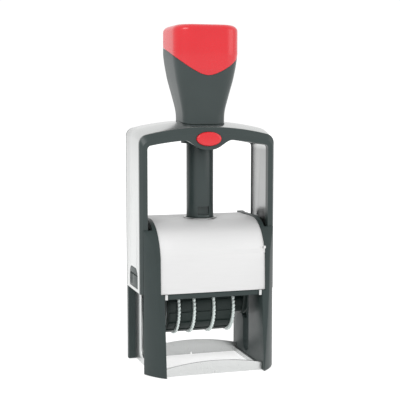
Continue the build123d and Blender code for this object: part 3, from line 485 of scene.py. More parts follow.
# ------------------------------------------------------------------ shader maths
class Sock:
    """One output socket, with the arithmetic that materials need."""

    def __init__(self, sheet: "Sheet", socket: bpy.types.NodeSocket) -> None:
        """Remembers the sheet that the socket is on."""
        self.sheet, self.socket = sheet, socket

    def _math(self, operation: str, *values: "Sock | float") -> "Sock":
        """Adds one Math node."""
        return self.sheet.node("ShaderNodeMath", {"operation": operation}, dict(enumerate(values)))

    def __add__(self, other: "Sock | float") -> "Sock":
        """Sum."""
        return self._math("ADD", self, other)

    def __mul__(self, other: "Sock | float") -> "Sock":
        """Product."""
        return self._math("MULTIPLY", self, other)

    def __sub__(self, other: "Sock | float") -> "Sock":
        """Difference."""
        return self._math("SUBTRACT", self, other)

    def __rsub__(self, other: float) -> "Sock":
        """Difference, the other way round."""
        return self._math("SUBTRACT", other, self)

    def clamp(self) -> "Sock":
        """Limits the value to the range from 0 to 1."""
        return self._math("MINIMUM", self._math("MAXIMUM", self, 0.0), 1.0)


class Sheet:
    """One material's node sheet."""

    def __init__(self, name: str) -> None:
        """Starts an empty material with a principled surface."""
        self.material = bpy.data.materials.new(name)
        self.material.use_nodes = True
        self.tree = self.material.node_tree
        self.tree.nodes.clear()
        self.out = self.tree.nodes.new("ShaderNodeOutputMaterial")
        self.surface = self.tree.nodes.new("ShaderNodeBsdfPrincipled")
        self.tree.links.new(self.surface.outputs[0], self.out.inputs["Surface"])

    def node(self, kind: str, settings: dict | None = None, inputs: dict | None = None,
             output: int | str = 0) -> Sock:
        """Adds a node.

        Args:
            kind: Blender's type name.
            settings: attributes set first.
            inputs: values or sockets by name or number.
            output: which output to return.

        Returns:
            That output.
        """
        made = self.tree.nodes.new(kind)
        for key, value in (settings or {}).items():
            setattr(made, key, value)
        for key, value in (inputs or {}).items():
            self.feed(made.inputs[key], value)
        return Sock(self, made.outputs[output])

    def feed(self, target: bpy.types.NodeSocket, value: "Sock | float | Sequence[float]") -> None:
        """Links a socket or sets a plain value."""
        if isinstance(value, Sock):
            self.tree.links.new(value.socket, target)
        else:
            target.default_value = value

    def set(self, **values: "Sock | float | Sequence[float]") -> None:
        """Feeds the surface; underscores in a name stand for spaces."""
        for key, value in values.items():
            self.feed(self.surface.inputs[key.replace("_", " ")], value)

    def place(self, scale: Point3 = (1.0, 1.0, 1.0)) -> Sock:
        """Object coordinates, stretched by scale."""
        coords = self.node("ShaderNodeTexCoord", output="Object")
        return self.node("ShaderNodeMapping", {}, {"Vector": coords, "Scale": scale})

    def noise(self, scale: float, detail: float = 2.0, stretch: Point3 = (1.0, 1.0, 1.0)) -> Sock:
        """Soft noise with features about 1 / scale metres across."""
        return self.node("ShaderNodeTexNoise", {}, {"Vector": self.place(stretch), "Scale": scale,
                                                    "Detail": detail, "Roughness": 0.55})

    def mix(self, share: "Sock | float", first: "Sock | Sequence[float]", second: Sequence[float]) -> Sock:
        """Mixes a colour, or another mix, with a second colour.

        Args:
            share: how much of the second colour shows, from 0 to 1.
            first: three numbers, or the outcome of an earlier mix.
            second: three numbers.

        Returns:
            The mixed colour.
        """
        start = first if isinstance(first, Sock) else (*first, 1.0)
        colours = {0: share, 6: start, 7: (*second, 1.0)}
        return self.node("ShaderNodeMix", {"data_type": "RGBA"}, colours, output=2)

    def bump(self, height: Sock, distance: float, strength: float = 1.0) -> Sock:
        """Normal from a height; distance in metres."""
        return self.node("ShaderNodeBump", {}, {"Height": height, "Distance": distance,
                                                "Strength": strength}, output="Normal")


def tint(colour: Point3, factor: float) -> Point3:
    """Colour scaled by a factor."""
    return tuple(channel * factor for channel in colour)


@dataclass(frozen=True)
class Moulded:
    """Moulded plastic or rubber: fine grain, faint flow marks, a little scuffing."""
    colour: Point3
    roughness: float
    grain: float = 3600.0
    grain_depth: float = 6e-6
    spread: float = 0.12
    scuff: float = 0.08
    coat: float = 0.0
    specular: float = 0.5

    def build(self, name: str) -> bpy.types.Material:
        """Makes the material."""
        sheet = Sheet(name)
        flow = sheet.noise(90.0, 3.0)
        fine = sheet.noise(self.grain, 2.0)
        scratch = sheet.noise(260.0, 4.0, (1.0, 1.0, 6.0))
        marks = ((scratch - 0.62) * 6.0).clamp()
        low, high = tint(self.colour, 1.0 - self.spread), tint(self.colour, 1.0 + self.spread)
        body = sheet.mix(flow, low, high)
        colour = sheet.mix(marks * self.scuff, body, tint(self.colour, 1.35))
        rough = (fine - 0.5) * 0.10 + (flow - 0.5) * 0.08 + marks * self.scuff + self.roughness
        sheet.set(Base_Color=colour, Roughness=rough, Metallic=0.0, Coat_Weight=self.coat,
                  Coat_Roughness=0.08, Specular_IOR_Level=self.specular,
                  Normal=sheet.bump(fine, self.grain_depth))
        return sheet.material


@dataclass(frozen=True)
class Steel:
    """Rolled or turned steel: long fine grain, faint smears, tiny pits.

    The inner side of the bow's legs can carry painted shade: the second last field scales the colour there,
    and the last field holds the half width inside which that painted shade holds, and the two heights between
    which it does.
    """
    colour: Point3
    roughness: float
    stretch: Point3 = (1.0, 1.0, 0.04)
    grain: float = 2600.0
    grain_depth: float = 2.0e-6
    smear: float = 0.10
    metal: float = 1.0
    pitting: float = 0.35
    inner_shade: float = 0.0
    shade_zone: Point3 = (30.1, 45.0, 98.0)

    def build(self, name: str) -> bpy.types.Material:
        """Makes the material."""
        sheet = Sheet(name)
        grain = sheet.noise(self.grain, 3.0, self.stretch)
        cloud = sheet.noise(70.0, 4.0)
        pits = ((sheet.noise(900.0, 1.0) - 0.70) * 8.0).clamp()
        tone = sheet.mix(grain * 0.6 + cloud * 0.4, tint(self.colour, 0.93), tint(self.colour, 1.04))
        colour = sheet.mix(pits * self.pitting, tone, tint(self.colour, 0.55))
        # Painted shade: the inner faces of the bow's legs are darkened inside a band of heights.
        if self.inner_shade:
            across = sheet.node("ShaderNodeSeparateXYZ", {}, {0: sheet.place()}, output="X")
            height = sheet.node("ShaderNodeSeparateXYZ", {}, {0: sheet.place()}, output="Z")
            half_w, low, high = (edge * MM for edge in self.shade_zone)
            inner = (half_w - sheet.node("ShaderNodeMath", {"operation": "ABSOLUTE"}, {0: across})) * 5000.0
            band = ((height - low) * 400.0).clamp() * ((high - height) * 400.0).clamp()
            colour = sheet.mix(inner.clamp() * band, colour, tint(self.colour, self.inner_shade))
        rough = (grain - 0.5) * 0.14 + (cloud - 0.5) * self.smear + self.roughness
        sheet.set(Base_Color=colour, Roughness=rough, Metallic=self.metal,
                  Normal=sheet.bump(grain, self.grain_depth, 0.7))
        return sheet.material


@dataclass(frozen=True)
class Felt:
    """Ink-soaked felt: short fibres and blotches of wet ink."""
    colour: Point3
    wet: Point3

    def build(self, name: str) -> bpy.types.Material:
        """Makes the material."""
        sheet = Sheet(name)
        fibre = sheet.noise(5200.0, 3.0)
        blotch = sheet.noise(220.0, 4.0)
        sheet.set(Base_Color=sheet.mix(blotch, self.colour, self.wet), Metallic=0.0,
                  Roughness=0.95 - (blotch - 0.5).clamp() * 0.8,
                  Normal=sheet.bump(fibre + blotch * 0.3, 9e-5, 0.8))
        return sheet.material


FINISHES: dict[str, Moulded | Steel | Felt] = {
    "housing_plastic": Moulded((0.026, 0.037, 0.036), 0.42, specular=0.24),
    "grip_plastic": Moulded((0.026, 0.037, 0.036), 0.34, grain_depth=3e-6, specular=0.36),
    "carrier_plastic": Moulded((0.014, 0.023, 0.021), 0.45, specular=0.30),
    # The satin steel gets painted shade, darkened to 0.55, on the inner faces of the bow's legs.
    "satin_steel": Steel((0.60, 0.61, 0.605), 0.30, inner_shade=0.55),
    "cover_steel": Steel((0.60, 0.60, 0.60), 0.50, stretch=(0.04, 1.0, 1.0), smear=0.03, metal=0.25,
                         pitting=0.0),
    "pin_steel": Steel((0.55, 0.56, 0.57), 0.26, stretch=(0.2, 1.0, 1.0)),
    "spring_steel": Steel((0.48, 0.49, 0.50), 0.30, stretch=(1.0, 1.0, 1.0)),
    "cap_red": Moulded((0.54, 0.006, 0.013), 0.26, grain_depth=2e-6, spread=0.05, scuff=0.02, coat=0.15),
    "wheel_white": Moulded((0.68, 0.75, 0.73), 0.38, spread=0.04, scuff=0.03),
    "band_rubber": Moulded((0.010, 0.019, 0.017), 0.50, grain=2600.0, grain_depth=9e-6, specular=0.30),
    "die_rubber": Moulded((0.030, 0.030, 0.036), 0.60, grain=2600.0, grain_depth=9e-6, specular=0.3),
    "pad_felt": Felt((0.012, 0.013, 0.030), (0.004, 0.004, 0.012)),
}


class Paints:
    """All finishes of the object, each made once and shared."""

    def __init__(self) -> None:
        """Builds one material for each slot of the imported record."""
        self.by_slot = {slot: finish.build(slot) for slot, finish in FINISHES.items()}

    def coat(self, piece: Piece, slot: str) -> None:
        """Puts one finish on a whole piece."""
        piece.data.materials.clear()
        piece.data.materials.append(self.by_slot[slot])
        for face in piece.data.polygons:
            face.material_index = 0


@dataclass
class Assembly:
    """A group of pieces; sub-classes hold the sizes and build the meshes.

    The handle, the column and the pins all stand on the upright plane y = axis_y.
    """
    paints: Paints
    axis_y: float = 3.5

    def fit(self, piece: Piece, body: str, slot: str, *nodes: str) -> Piece:
        """Finishes a piece: material, body, slot and the CAD nodes that it stands for.

        Args:
            piece: the finished mesh, at the origin.
            body: CAD body that it rides on.
            slot: material slot of the record.
            nodes: CAD nodes that it replaces.

        Returns:
            The same piece.
        """
        Bench.clear()
        self.paints.coat(piece, slot)
        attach(piece, body)
        if nodes:
            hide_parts(*nodes)
        log.info("%s: %d faces on %s", piece.name, len(piece.data.polygons), body)
        return piece

    def refit(self, node: str, body: str, slot: str, soft: float, angle: float = 34.0) -> Piece:
        """Stands a softened copy of a CAD node in its place.

        Args:
            node: the CAD node, which the copy replaces.
            body: CAD body that it rides on.
            slot: material slot of the record.
            soft: width of the eased edges, in millimetres.
            angle: smoothing angle in degrees.

        Returns:
            The new piece.
        """
        return self.fit(Bench.refine(node, soft, angle), body, slot, node)


@dataclass
class Base(Assembly):
    """Cheeks, slotted plates, floor frame, beam and the curved cover."""
    cover_half_w: float = 23.5
    cover_t: float = 0.8
    lip: Point2 = (-17.2, 35.6)
    knee: Point2 = (-16.8, 48.5)
    curl_r: float = 17.3
    cover_rear: float = 17.6
    ring_r: float = 7.0
    tab_z: Point2 = (51.6, 54.6)
    nick_z: Point2 = (52.7, 53.5)
    clip_x: Point2 = (20.6, 21.8)
    clip_z: Point2 = (33.2, 35.5)

    def cover_line(self, inset: float) -> list[Point2]:
        """Side line of the cover from its lip to its rear edge, moved inwards by inset."""
        radius = self.curl_r - inset
        centre = (self.knee[0] + self.curl_r, self.knee[1])
        bend = arc(centre, radius, 180.0, 90.0, 30)
        return ([(self.lip[0] + inset, self.lip[1])] + bend
                + [(self.cover_rear, centre[1] + radius)])

    def cover(self) -> Piece:
        """Curled steel sheet with the column's hole and a nicked tab at its right edge."""
        half = self.cover_half_w
        outline = self.cover_line(0.0) + self.cover_line(self.cover_t)[::-1]
        sheet = Bench.solid("cover_sheet", outline, Plane.PROFILE, -half, 2 * half)
        Bench.act(sheet, Bench.drum("hole", self.ring_r, (0.0, self.axis_y, 60.0), 10.0, Plane.TOP, 72))
        (tab_low, tab_high), (nick_low, nick_high) = self.tab_z, self.nick_z
        tab = Bench.block("tab", (half - 0.4, -16.6, tab_low), (half + 0.5, -16.2, tab_high))
        Bench.act(sheet, tab, Cut.JOIN)
        Bench.act(sheet, Bench.block("nick", (half + 0.05, -20.0, nick_low), (half + 2.0, -10.0, nick_high)))
        Bench.ease(sheet, 0.22, 2, 50.0)
        Bench.smooth(sheet, 40.0)
        return self.fit(sheet, "base", "cover_steel", "front_cover")

    def ring(self) -> Piece:
        """Rolled lip round the column: a collar in the hole with a rounded rim on the cover."""
        top = self.knee[1] + self.curl_r
        inner, outer = self.ring_r - 0.6, self.ring_r - 0.1
        collar = [(inner, 64.9), (outer, 64.9), (outer + 0.02, top + 0.05)]
        rim = [(outer + 0.55, top + 0.08), (outer + 0.6, top + 0.22), (outer + 0.45, top + 0.38),
               (outer + 0.1, top + 0.45), (inner + 0.3, top + 0.45), (inner + 0.08, top + 0.3)]
        ring = Bench.lathe("hole_ring", collar + rim + [(inner, top + 0.05)], self.axis_y)
        Bench.smooth(ring, 50.0)
        return self.fit(ring, "base", "satin_steel", "cover_ring")

    def clips(self) -> Piece:
        """Two folded steel clips that hold the cover's lower corners."""
        (x0, x1), (low, high) = self.clip_x, self.clip_z
        outline = [(x0, low), (x1, low), (x1, high - 0.15), (x1 - 0.25, high),
                   (x0 + 0.25, high), (x0, high - 0.15)]
        clip = Bench.solid("clip", outline, Plane.FRONT, self.lip[0] - 0.5, 0.6)
        Bench.ease(clip, 0.12)
        twin = Bench.mirror_x(clip, "clip_twin")
        Bench.take(clip)
        twin.select_set(True)
        bpy.ops.object.join()
        clip.name = "lip_clips"
        Bench.smooth(clip)
        return self.fit(clip, "base", "satin_steel", "cover_clips")

    def floor_frame(self) -> Piece:
        """Folded steel frame with a centre mark in each arched strip."""
        piece = Bench.refine("base_frame", 0.0)
        Bench.act(piece, Bench.block("mark", (-0.3, -20.0, -1.0), (0.3, 20.0, 1.1)))
        Bench.ease(piece, 0.14, 2, 50.0)
        Bench.smooth(piece)
        return self.fit(piece, "base", "satin_steel", "base_frame")

    def build(self) -> None:
        """Makes every piece of the base."""
        self.cover()
        self.ring()
        self.clips()
        self.floor_frame()
        for side in Side:
            self.refit(f"cheek_{side.word}", "base", "housing_plastic", 0.35)
            self.refit(f"side_plate_{side.word}", "base", "satin_steel", 0.1)
        self.refit("front_beam", "base", "housing_plastic", 0.0)
        self.refit("bridge", "base", "housing_plastic", 0.2)


@dataclass
class Guide(Assembly):
    """Telescoping column and the press spring inside it."""
    column_r: float = 6.0
    bore_r: float = 4.3
    foot: float = 64.6
    floor: float = 67.0
    top: float = 107.5
    latches: tuple[float, float] = (69.2, 101.2)
    latch_half: Point2 = (2.6, 1.9)
    web_y: Point2 = (-4.12, -3.92)
    coil_r: float = 3.35
    wire_r: float = 0.5
    turns: int = 20
    spring_top: float = 141.3
    travel: float = 32.0

    def column(self) -> Piece:
        """Tube with two latch windows in front, each closed by a thin web behind."""
        profile = [(0.0, self.foot), (self.column_r, self.foot), (self.column_r, self.top - 0.6),
                   (self.column_r - 0.18, self.top - 0.18), (self.column_r - 0.6, self.top),
                   (self.bore_r, self.top), (self.bore_r, self.floor), (0.0, self.floor)]
        tube = Bench.lathe("guide_column", profile, self.axis_y, 96)
        half_w, half_h = self.latch_half
        web_front, web_back = (self.axis_y + y for y in self.web_y)
        for level in self.latches:
            Bench.act(tube, Bench.block("window", (-half_w, self.axis_y - 8.0, level - half_h),
                                        (half_w, self.axis_y, level + half_h)))
            web = Bench.block("web", (-half_w - 0.6, web_front, level - half_h - 0.5),
                              (half_w + 0.6, web_back, level + half_h + 0.5))
            Bench.act(tube, web, Cut.JOIN)
        Bench.ease(tube, 0.15, 2, 50.0)
        Bench.smooth(tube, 40.0)
        return self.fit(tube, "base", "grip_plastic", "column")

    def spring(self) -> Piece:
        """Helix of round wire, closed at both ends."""
        Bench.clear()
        bpy.ops.mesh.primitive_circle_add(vertices=10, radius=self.wire_r * MM, fill_type="NOTHING",
                                          rotation=(math.pi / 2, 0.0, 0.0))
        coil = bpy.context.object
        coil.name = "press_coil"
        bpy.ops.object.transform_apply(location=True, rotation=True, scale=True)
        Bench.edit(coil, whole=True)
        bpy.ops.transform.translate(value=Vector((self.coil_r, 0.0, 0.0)) * MM)
        Bench.close()
        twist = coil.modifiers.new("twist", "SCREW")
        length = self.spring_top - self.floor - 2 * self.wire_r - 0.2
        twist.screw_offset = length / self.turns * MM
        twist.iterations = self.turns
        twist.steps = 28
        Bench.take(coil)
        bpy.ops.object.modifier_apply(modifier=twist.name)
        Bench.edit(coil, "EDGE", whole=True)
        bpy.ops.transform.translate(value=Vector((0.0, self.axis_y, self.floor + self.wire_r + 0.1)) * MM)
        bpy.ops.mesh.select_all(action="DESELECT")
        bpy.ops.mesh.select_non_manifold(extend=False, use_wire=False, use_boundary=True,
                                         use_multi_face=False, use_non_contiguous=False, use_verts=False)
        bpy.ops.mesh.edge_face_add()
        Bench.close()
        Bench.outward(coil)
        Bench.smooth(coil, 60.0)
        self.fit(coil, "base", "spring_steel", "press_spring")
        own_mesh(coil)
        return coil

    def build(self) -> None:
        """Makes the column and its spring."""
        self.column()
        self.spring()


@dataclass
class Bow(Assembly):
    """Sliding bow: steel strap, front bezel, rear trim and pivot clips."""
    half_w: float = 30.5
    foot: float = 34.5
    strap_t: float = 1.2
    strap_top: float = 108.8
    strap_y: Point2 = (-7.0, 16.4)
    crown_r: float = 120.0
    corner_r: float = 4.0
    shoulder_y: float = 4.0
    shoulder_drop: float = 2.4
    bezel_y: Point2 = (-10.0, -7.0)
    bezel_top: float = 106.2
    bezel_slope: Point2 = (1.0, 2.6)
    bezel_edge_d: float = 1.5
    window_half_w: float = 27.3
    window_top: float = 101.0
    window_r: float = 140.0
    boss_half_w: float = 10.6
    boss_bottom: float = 96.5
    neck_half: float = 9.65
    neck_r: float = 5.0
    button_z: float = 101.2
    button: Point2 = (5.72, 3.17)
    clip_x: Point2 = (27.5, 30.45)
    notch_half: float = 7.5
    notch_z: Point2 = (35.9, 44.8)
    notch_r: float = 4.0
    clip_gap: float = 0.15
    pin: Point2 = (2.0, 40.0)
    groove_z: Point2 = (41.3, 42.1)
    ribs_y: tuple[float, ...] = (6.4, 8.2, 10.0)

    def arch(self, half_w: float, top: float, radius: float, corner_r: float) -> list[Point2]:
        """Closed arch outline with straight legs down to the foot.

        Args:
            half_w: half the width of the arch.
            top: height of the crown.
            radius: radius of the crown.
            corner_r: radius of the two corners.

        Returns:
            The points of the outline.
        """
        return [(-half_w, self.foot)] + crown(half_w, top, radius, corner_r) + [(half_w, self.foot)]

    def strap(self) -> Piece:
        """Steel ribbon bent over the crown, its front shoulder rolled down."""
        inset = self.strap_t / 2
        line = self.arch(self.half_w - inset, self.strap_top - inset, self.crown_r - inset,
                         self.corner_r - inset)
        ribbon = Bench.wire("strap_ribbon", line, Plane.FRONT, self.strap_y[0])
        bpy.ops.mesh.select_all(action="SELECT")
        depth = self.strap_y[1] - self.strap_y[0]
        Bench.pull(Plane.FRONT.push(depth))
        Bench.close()
        steps = 8
        levels = [self.strap_y[0] + (self.shoulder_y - self.strap_y[0]) * step / steps
                  for step in range(steps + 1)]
        for level in levels[1:]:
            Bench.slice(ribbon, Plane.FRONT, level)
        for level in levels[:-1]:
            share = (self.shoulder_y - level) / (self.shoulder_y - self.strap_y[0])
            Bench.edit(ribbon, "VERT")
            Bench.pick_points(ribbon, lambda spot, y=level: abs(spot.y - y) < 0.01 and spot.z > self.foot + 2)
            bpy.ops.transform.translate(value=(0.0, 0.0, -self.shoulder_drop * share ** 2 * MM))
            Bench.close()
        Bench.take(ribbon)
        wall = ribbon.modifiers.new("wall", "SOLIDIFY")
        wall.thickness = self.strap_t * MM
        wall.offset = 0.0
        bpy.ops.object.modifier_apply(modifier=wall.name)
        Bench.outward(ribbon)
        neck = rounded_box((self.neck_half, self.neck_half), self.neck_r, self.axis_y)
        Bench.act(ribbon, Bench.solid("neck", neck, Plane.TOP, self.strap_top - 10.8, 20.0))
        for side in Side:
            Bench.act(ribbon, Bench.solid("notch", self.notch(0.0), Plane.PROFILE, side.value * 25.0,
                                          side.value * 10.0))
        Bench.ease(ribbon, 0.18, 2, 50.0)
        Bench.smooth(ribbon, 30.0)
        return self.fit(ribbon, "bow", "satin_steel", "bow_strap")

    def notch(self, inset: float) -> list[Point2]:
        """Round-shouldered window over the pivot, made smaller by inset."""
        half, radius = self.notch_half - inset, self.notch_r - inset
        low, high = self.notch_z[0] + inset, self.notch_z[1] - inset
        left = arc((self.axis_y - half + radius, high - radius), radius, 180.0, 90.0, 10)
        right = arc((self.axis_y + half - radius, high - radius), radius, 90.0, 0.0, 10)
        return [(self.axis_y - half, low)] + left + right + [(self.axis_y + half, low)]

    def boss(self) -> list[Point2]:
        """Closed outline of the bulge under the button."""
        side = []
        for step in range(25):
            x = self.boss_half_w * (1.0 - step / 24)
            share = x / self.boss_half_w
            eased = share * share * (3.0 - 2.0 * share)
            side.append((x, self.boss_bottom + (self.window_top - 0.4 - self.boss_bottom) * eased ** 1.6))
        half, high = self.boss_half_w, self.window_top + 1.0
        return side + [(-x, z) for x, z in side[-2::-1]] + [(-half, high), (half, high)]

    def bezel(self) -> Piece:
        """Front frame of the bow with its bevelled rim, bulge and oval hole."""
        front, back = self.bezel_y
        outline = self.arch(self.half_w, self.bezel_top, self.crown_r, self.corner_r)
        piece = Bench.solid("bow_bezel", outline, Plane.FRONT, back, front + self.bezel_edge_d - back)
        Bench.edit(piece)
        edge_y = front + self.bezel_edge_d
        Bench.pick_faces(piece, lambda centre, normal: abs(centre.y - edge_y) < 0.01)
        Bench.pull(Plane.FRONT.push(-self.bezel_edge_d))
        narrow, low = self.bezel_slope
        height = self.bezel_top - self.foot
        bpy.ops.transform.resize(value=((self.half_w - narrow) / self.half_w, 1.0, (height - low) / height),
                                 center_override=Plane.FRONT.place((0.0, self.foot), front))
        Bench.close()
        window = self.arch(self.window_half_w, self.window_top, self.window_r, 1.8)
        window = [(x, z - 3.0 if z < self.foot + 1 else z) for x, z in window]
        Bench.act(piece, Bench.solid("window", window, Plane.FRONT, -15.0, 15.0))
        boss = Bench.solid("boss", self.boss(), Plane.FRONT, front, back - front)
        Bench.act(piece, boss, Cut.JOIN)
        hole = Bench.solid("hole", oval(*self.button, (0.0, self.button_z)), Plane.FRONT, -15.0, 15.0)
        Bench.act(piece, hole)
        Bench.ease(piece, 0.28, 3, 20.0)
        Bench.smooth(piece, 30.0)
        return self.fit(piece, "bow", "grip_plastic", "front_bezel")

    def clip(self) -> Piece:
        """Round-topped clip over the pivot pin, with a groove across it and finger grooves below."""
        x0, x1 = self.clip_x
        piece = Bench.solid("pivot_cover", self.notch(self.clip_gap), Plane.PROFILE, x0, x1 - x0)
        pin_r, pin_z = self.pin
        Bench.act(piece, Bench.drum("pin", pin_r, (x0 - 1.0, self.axis_y, pin_z), x1 - x0, Plane.PROFILE, 32))
        low, high = self.groove_z
        Bench.act(piece, Bench.block("groove", (x1 - 0.5, -10.0, low), (x1 + 2.0, 20.0, high)))
        for y in self.ribs_y:
            Bench.act(piece, Bench.block("rib", (x1 - 0.3, y, 37.0), (x1 + 2.0, y + 0.7, low)))
        Bench.ease(piece, 0.3, 3, 40.0)
        Bench.smooth(piece)
        return piece

    def build(self) -> None:
        """Makes every piece of the bow."""
        self.strap()
        self.bezel()
        right = self.clip()
        left = Bench.mirror_x(right, "pivot_cover_left")
        right.name = "pivot_cover_right"
        self.fit(right, "bow", "housing_plastic", "pivot_clip_right")
        self.fit(left, "bow", "housing_plastic", "pivot_clip_left")
        self.refit("rear_trim", "bow", "grip_plastic", 0.25)
        self.refit("bow_head", "bow", "housing_plastic", 0.2)


@dataclass
class Handle(Assembly):
    """Neck, flared grip and red cap, cut from one tower."""
    corner_r: float = 4.8
    foot: float = 105.0
    seam: float = 108.2
    seam_drop: float = 1.1
    widths: tuple[Point2, ...] = ((105.0, 9.5), (107.8, 9.5), (113.0, 9.75), (120.0, 11.3), (128.0, 13.2),
                                  (138.0, 14.6), (147.0, 14.6))
    rim: Point2 = (3.3, 2.7)
    dome: float = 0.25
    top: float = 150.5
    bore_r: float = 6.5
    bore_top: float = 141.5
    cap_low: float = 128.0
    cap_round: float = 3.5
    cap_flare: float = 0.7
    cap_tilt: float = 0.24
    joint: float = 0.14
    zone_depth: float = 34.0

    def tower(self) -> Piece:
        """Whole handle in one piece, bored for the column."""
        half = self.widths[0][1]
        heights = [self.foot + (self.widths[-2][0] - self.foot) * step / 30 for step in range(31)]
        stations = [(z, smooth_value(z, self.widths) / half) for z in heights]
        rim_w, rim_h = self.rim
        rim_z = self.top - self.dome - rim_h
        wide = self.widths[-1][1]
        stations += [(z, wide / half) for z in (141.0, 144.5, rim_z)]
        for step in range(1, 11):
            turn = math.radians(90.0 * step / 10)
            stations.append((rim_z + rim_h * math.sin(turn), (wide - rim_w * (1.0 - math.cos(turn))) / half))
        flat = stations[-1][1]
        for share in (0.85, 0.65, 0.4, 0.15):
            stations.append((self.top - self.dome * share ** 2, flat * share))
        outline = rounded_box((half, half), self.corner_r, self.axis_y, 10)
        body = Bench.tower("handle", outline, stations, (0.0, self.axis_y))
        Bench.act(body, Bench.drum("bore", self.bore_r, (0.0, self.axis_y, self.foot - 5.0),
                                   self.bore_top - self.foot + 5.0, Plane.TOP, 64))
        return body

    def zone(self, lower: float) -> Piece:
        """Solid of all that belongs to the cap, its edge lowered by lower."""
        front = self.axis_y - self.widths[-1][1] - 1.0
        line = []
        for step in range(61):
            x = -20.0 + 40.0 * step / 60
            line.append((x, self.cap_low - lower - self.cap_round
                         + math.hypot(self.cap_round, self.cap_flare * x)))
        line += [(20.0, 175.0), (-20.0, 175.0)]
        solid = Bench.solid("zone", line, Plane.FRONT, front, self.zone_depth)
        Bench.edit(solid, "VERT")
        Bench.pick_points(solid, lambda spot: spot.y > self.axis_y)
        bpy.ops.transform.translate(value=(0.0, 0.0, self.zone_depth * self.cap_tilt * MM))
        Bench.close()
        return solid

    def below(self, lift: float) -> Piece:
        """Solid of all that lies under the collar's seam, raised by lift."""
        line = [(-12.0, 95.0)]
        for step in range(13):
            y = -12.0 + 16.0 * step / 12
            share = (4.0 - y) / 11.0
            line.append((y, self.seam + lift - self.seam_drop * share ** 2))
        line += [(25.0, self.seam + lift), (25.0, 95.0)]
        return Bench.solid("below", line, Plane.PROFILE, -20.0, 40.0)

    def build(self) -> None:
        """Splits the tower into collar, grip and cap."""
        body = self.tower()
        cap = Bench.copy(body, "handle_cap_shell")
        Bench.act(cap, self.zone(0.0), Cut.KEEP)
        collar = Bench.copy(body, "collar")
        Bench.act(collar, self.below(-self.joint), Cut.KEEP)
        grip = Bench.copy(body, "grip_shell")
        bpy.data.objects.remove(body, do_unlink=True)
        Bench.act(grip, self.zone(self.joint))
        Bench.act(grip, self.below(self.joint))
        for piece in (cap, collar, grip):
            Bench.ease(piece, 0.22, 2, 40.0)
            Bench.smooth(piece, 30.0)
        self.fit(collar, "bow", "grip_plastic", "neck_collar")
        self.fit(grip, "bow", "grip_plastic", "handle_grip")
        self.fit(cap, "bow", "cap_red", "handle_cap")


@dataclass
class Lock(Assembly):
    """Oval lock button."""
    centre: Point2 = (0.0, 101.2)
    half: Point2 = (5.6, 3.05)
    back: float = -6.0
    face: float = -11.2
    rim: float = 0.9

    def build(self) -> None:
        """Domed oval raised towards the front."""
        stations = [(self.back, 1.0), (self.face + self.rim, 1.0)]
        for step in range(1, 6):
            turn = math.radians(82.0 * step / 5)
            stations.append((self.face + self.rim * (1.0 - 0.86 * math.sin(turn)),
                             1.0 - 0.22 * (1.0 - math.cos(turn))))
        stations += [(self.face + 0.04, 0.45), (self.face, 0.15)]
        button = Bench.tower("button", oval(*self.half, self.centre), stations, self.centre, Plane.FRONT)
        Bench.smooth(button, 45.0)
        self.fit(button, "lock", "cap_red", "lock_button")


@dataclass
class Pad(Assembly):
    """Pad cassette with its felt."""
    half: Point2 = (20.6, 12.8)
    corner_r: float = 0.8
    level: Point2 = (48.62, 53.75)

    def felt(self) -> Piece:
        """Felt block with soft edges."""
        low, high = self.level
        outline = [(-x, y) for x, y in rounded_box(self.half, self.corner_r, self.axis_y, 5)]
        felt = Bench.solid("pad_block", outline, Plane.TOP, low, high - low)
        Bench.ease(felt, 0.6, 4, 40.0)
        Bench.smooth(felt, 60.0)
        self.fit(felt, "pad", "pad_felt", "ink_pad")
        return felt

    def build(self) -> None:
        """Makes the cassette and the felt."""
        self.refit("pad_cassette", "pad", "housing_plastic", 0.25)
        self.felt()


@dataclass
class Carrier(Assembly):
    """Flip carrier with date bands and toothed thumb discs."""
    arbor_z: float = 26.5
    band_r: float = 11.2
    starts: tuple[float, ...] = (-18.0, -12.4, -5.4, 3.6)
    ends: tuple[float, ...] = (-13.6, -6.6, 2.4, 11.4)
    blocks: int = 9
    block_h: float = 0.35
    block_half: float = 1.9
    spread: float = 200.0

    def band(self, number: int, start: float, end: float) -> Piece:
        """Rubber belt with blank raised figure blocks round its wheel.

        Args:
            number: number of the band, from 1.
            start: left end along the arbor.
            end: right end.

        Returns:
            The belt with its blocks joined on.
        """
        belt = Bench.refine(f"date_band_{number}", 0.12)
        low = self.arbor_z - self.band_r
        first = Bench.solid("block", [(start + 0.6, low + 0.3), (end - 0.6, low + 0.3),
                                      (end - 0.6, low - self.block_h), (start + 0.6, low - self.block_h)],
                            Plane.FRONT, self.axis_y - self.block_half, 2 * self.block_half)
        Bench.ease(first, 0.14)
        copies = [Bench.copy(first, "block_copy") for _ in range(1, self.blocks)]
        for index, piece in enumerate([first] + copies):
            self.swing(piece, (index / (self.blocks - 1) - 0.5) * self.spread)
        Bench.take(belt)
        for piece in [first] + copies:
            piece.select_set(True)
        bpy.ops.object.join()
        Bench.smooth(belt)
        return belt

    def swing(self, piece: Piece, turn: float) -> None:
        """Turns a piece's mesh about the arbor, in degrees."""
        Bench.edit(piece, whole=True)
        bpy.ops.transform.rotate(value=math.radians(turn), orient_axis="X",
                                 center_override=Plane.PROFILE.place((self.axis_y, self.arbor_z), 0.0))
        Bench.close()

    def build(self) -> None:
        """Makes bands, discs and the carrier's own parts."""
        for number, (start, end) in enumerate(zip(self.starts, self.ends), start=1):
            self.fit(self.band(number, start, end), "carrier", "band_rubber", f"date_band_{number}")
            self.refit(f"thumb_wheel_{number}", f"wheel_{number}", "wheel_white", 0.1, 25.0)
        self.refit("carrier_frame", "carrier", "carrier_plastic", 0.2)
        self.refit("text_plate", "carrier", "carrier_plastic", 0.2)
        self.refit("text_die", "carrier", "die_rubber", 0.12)


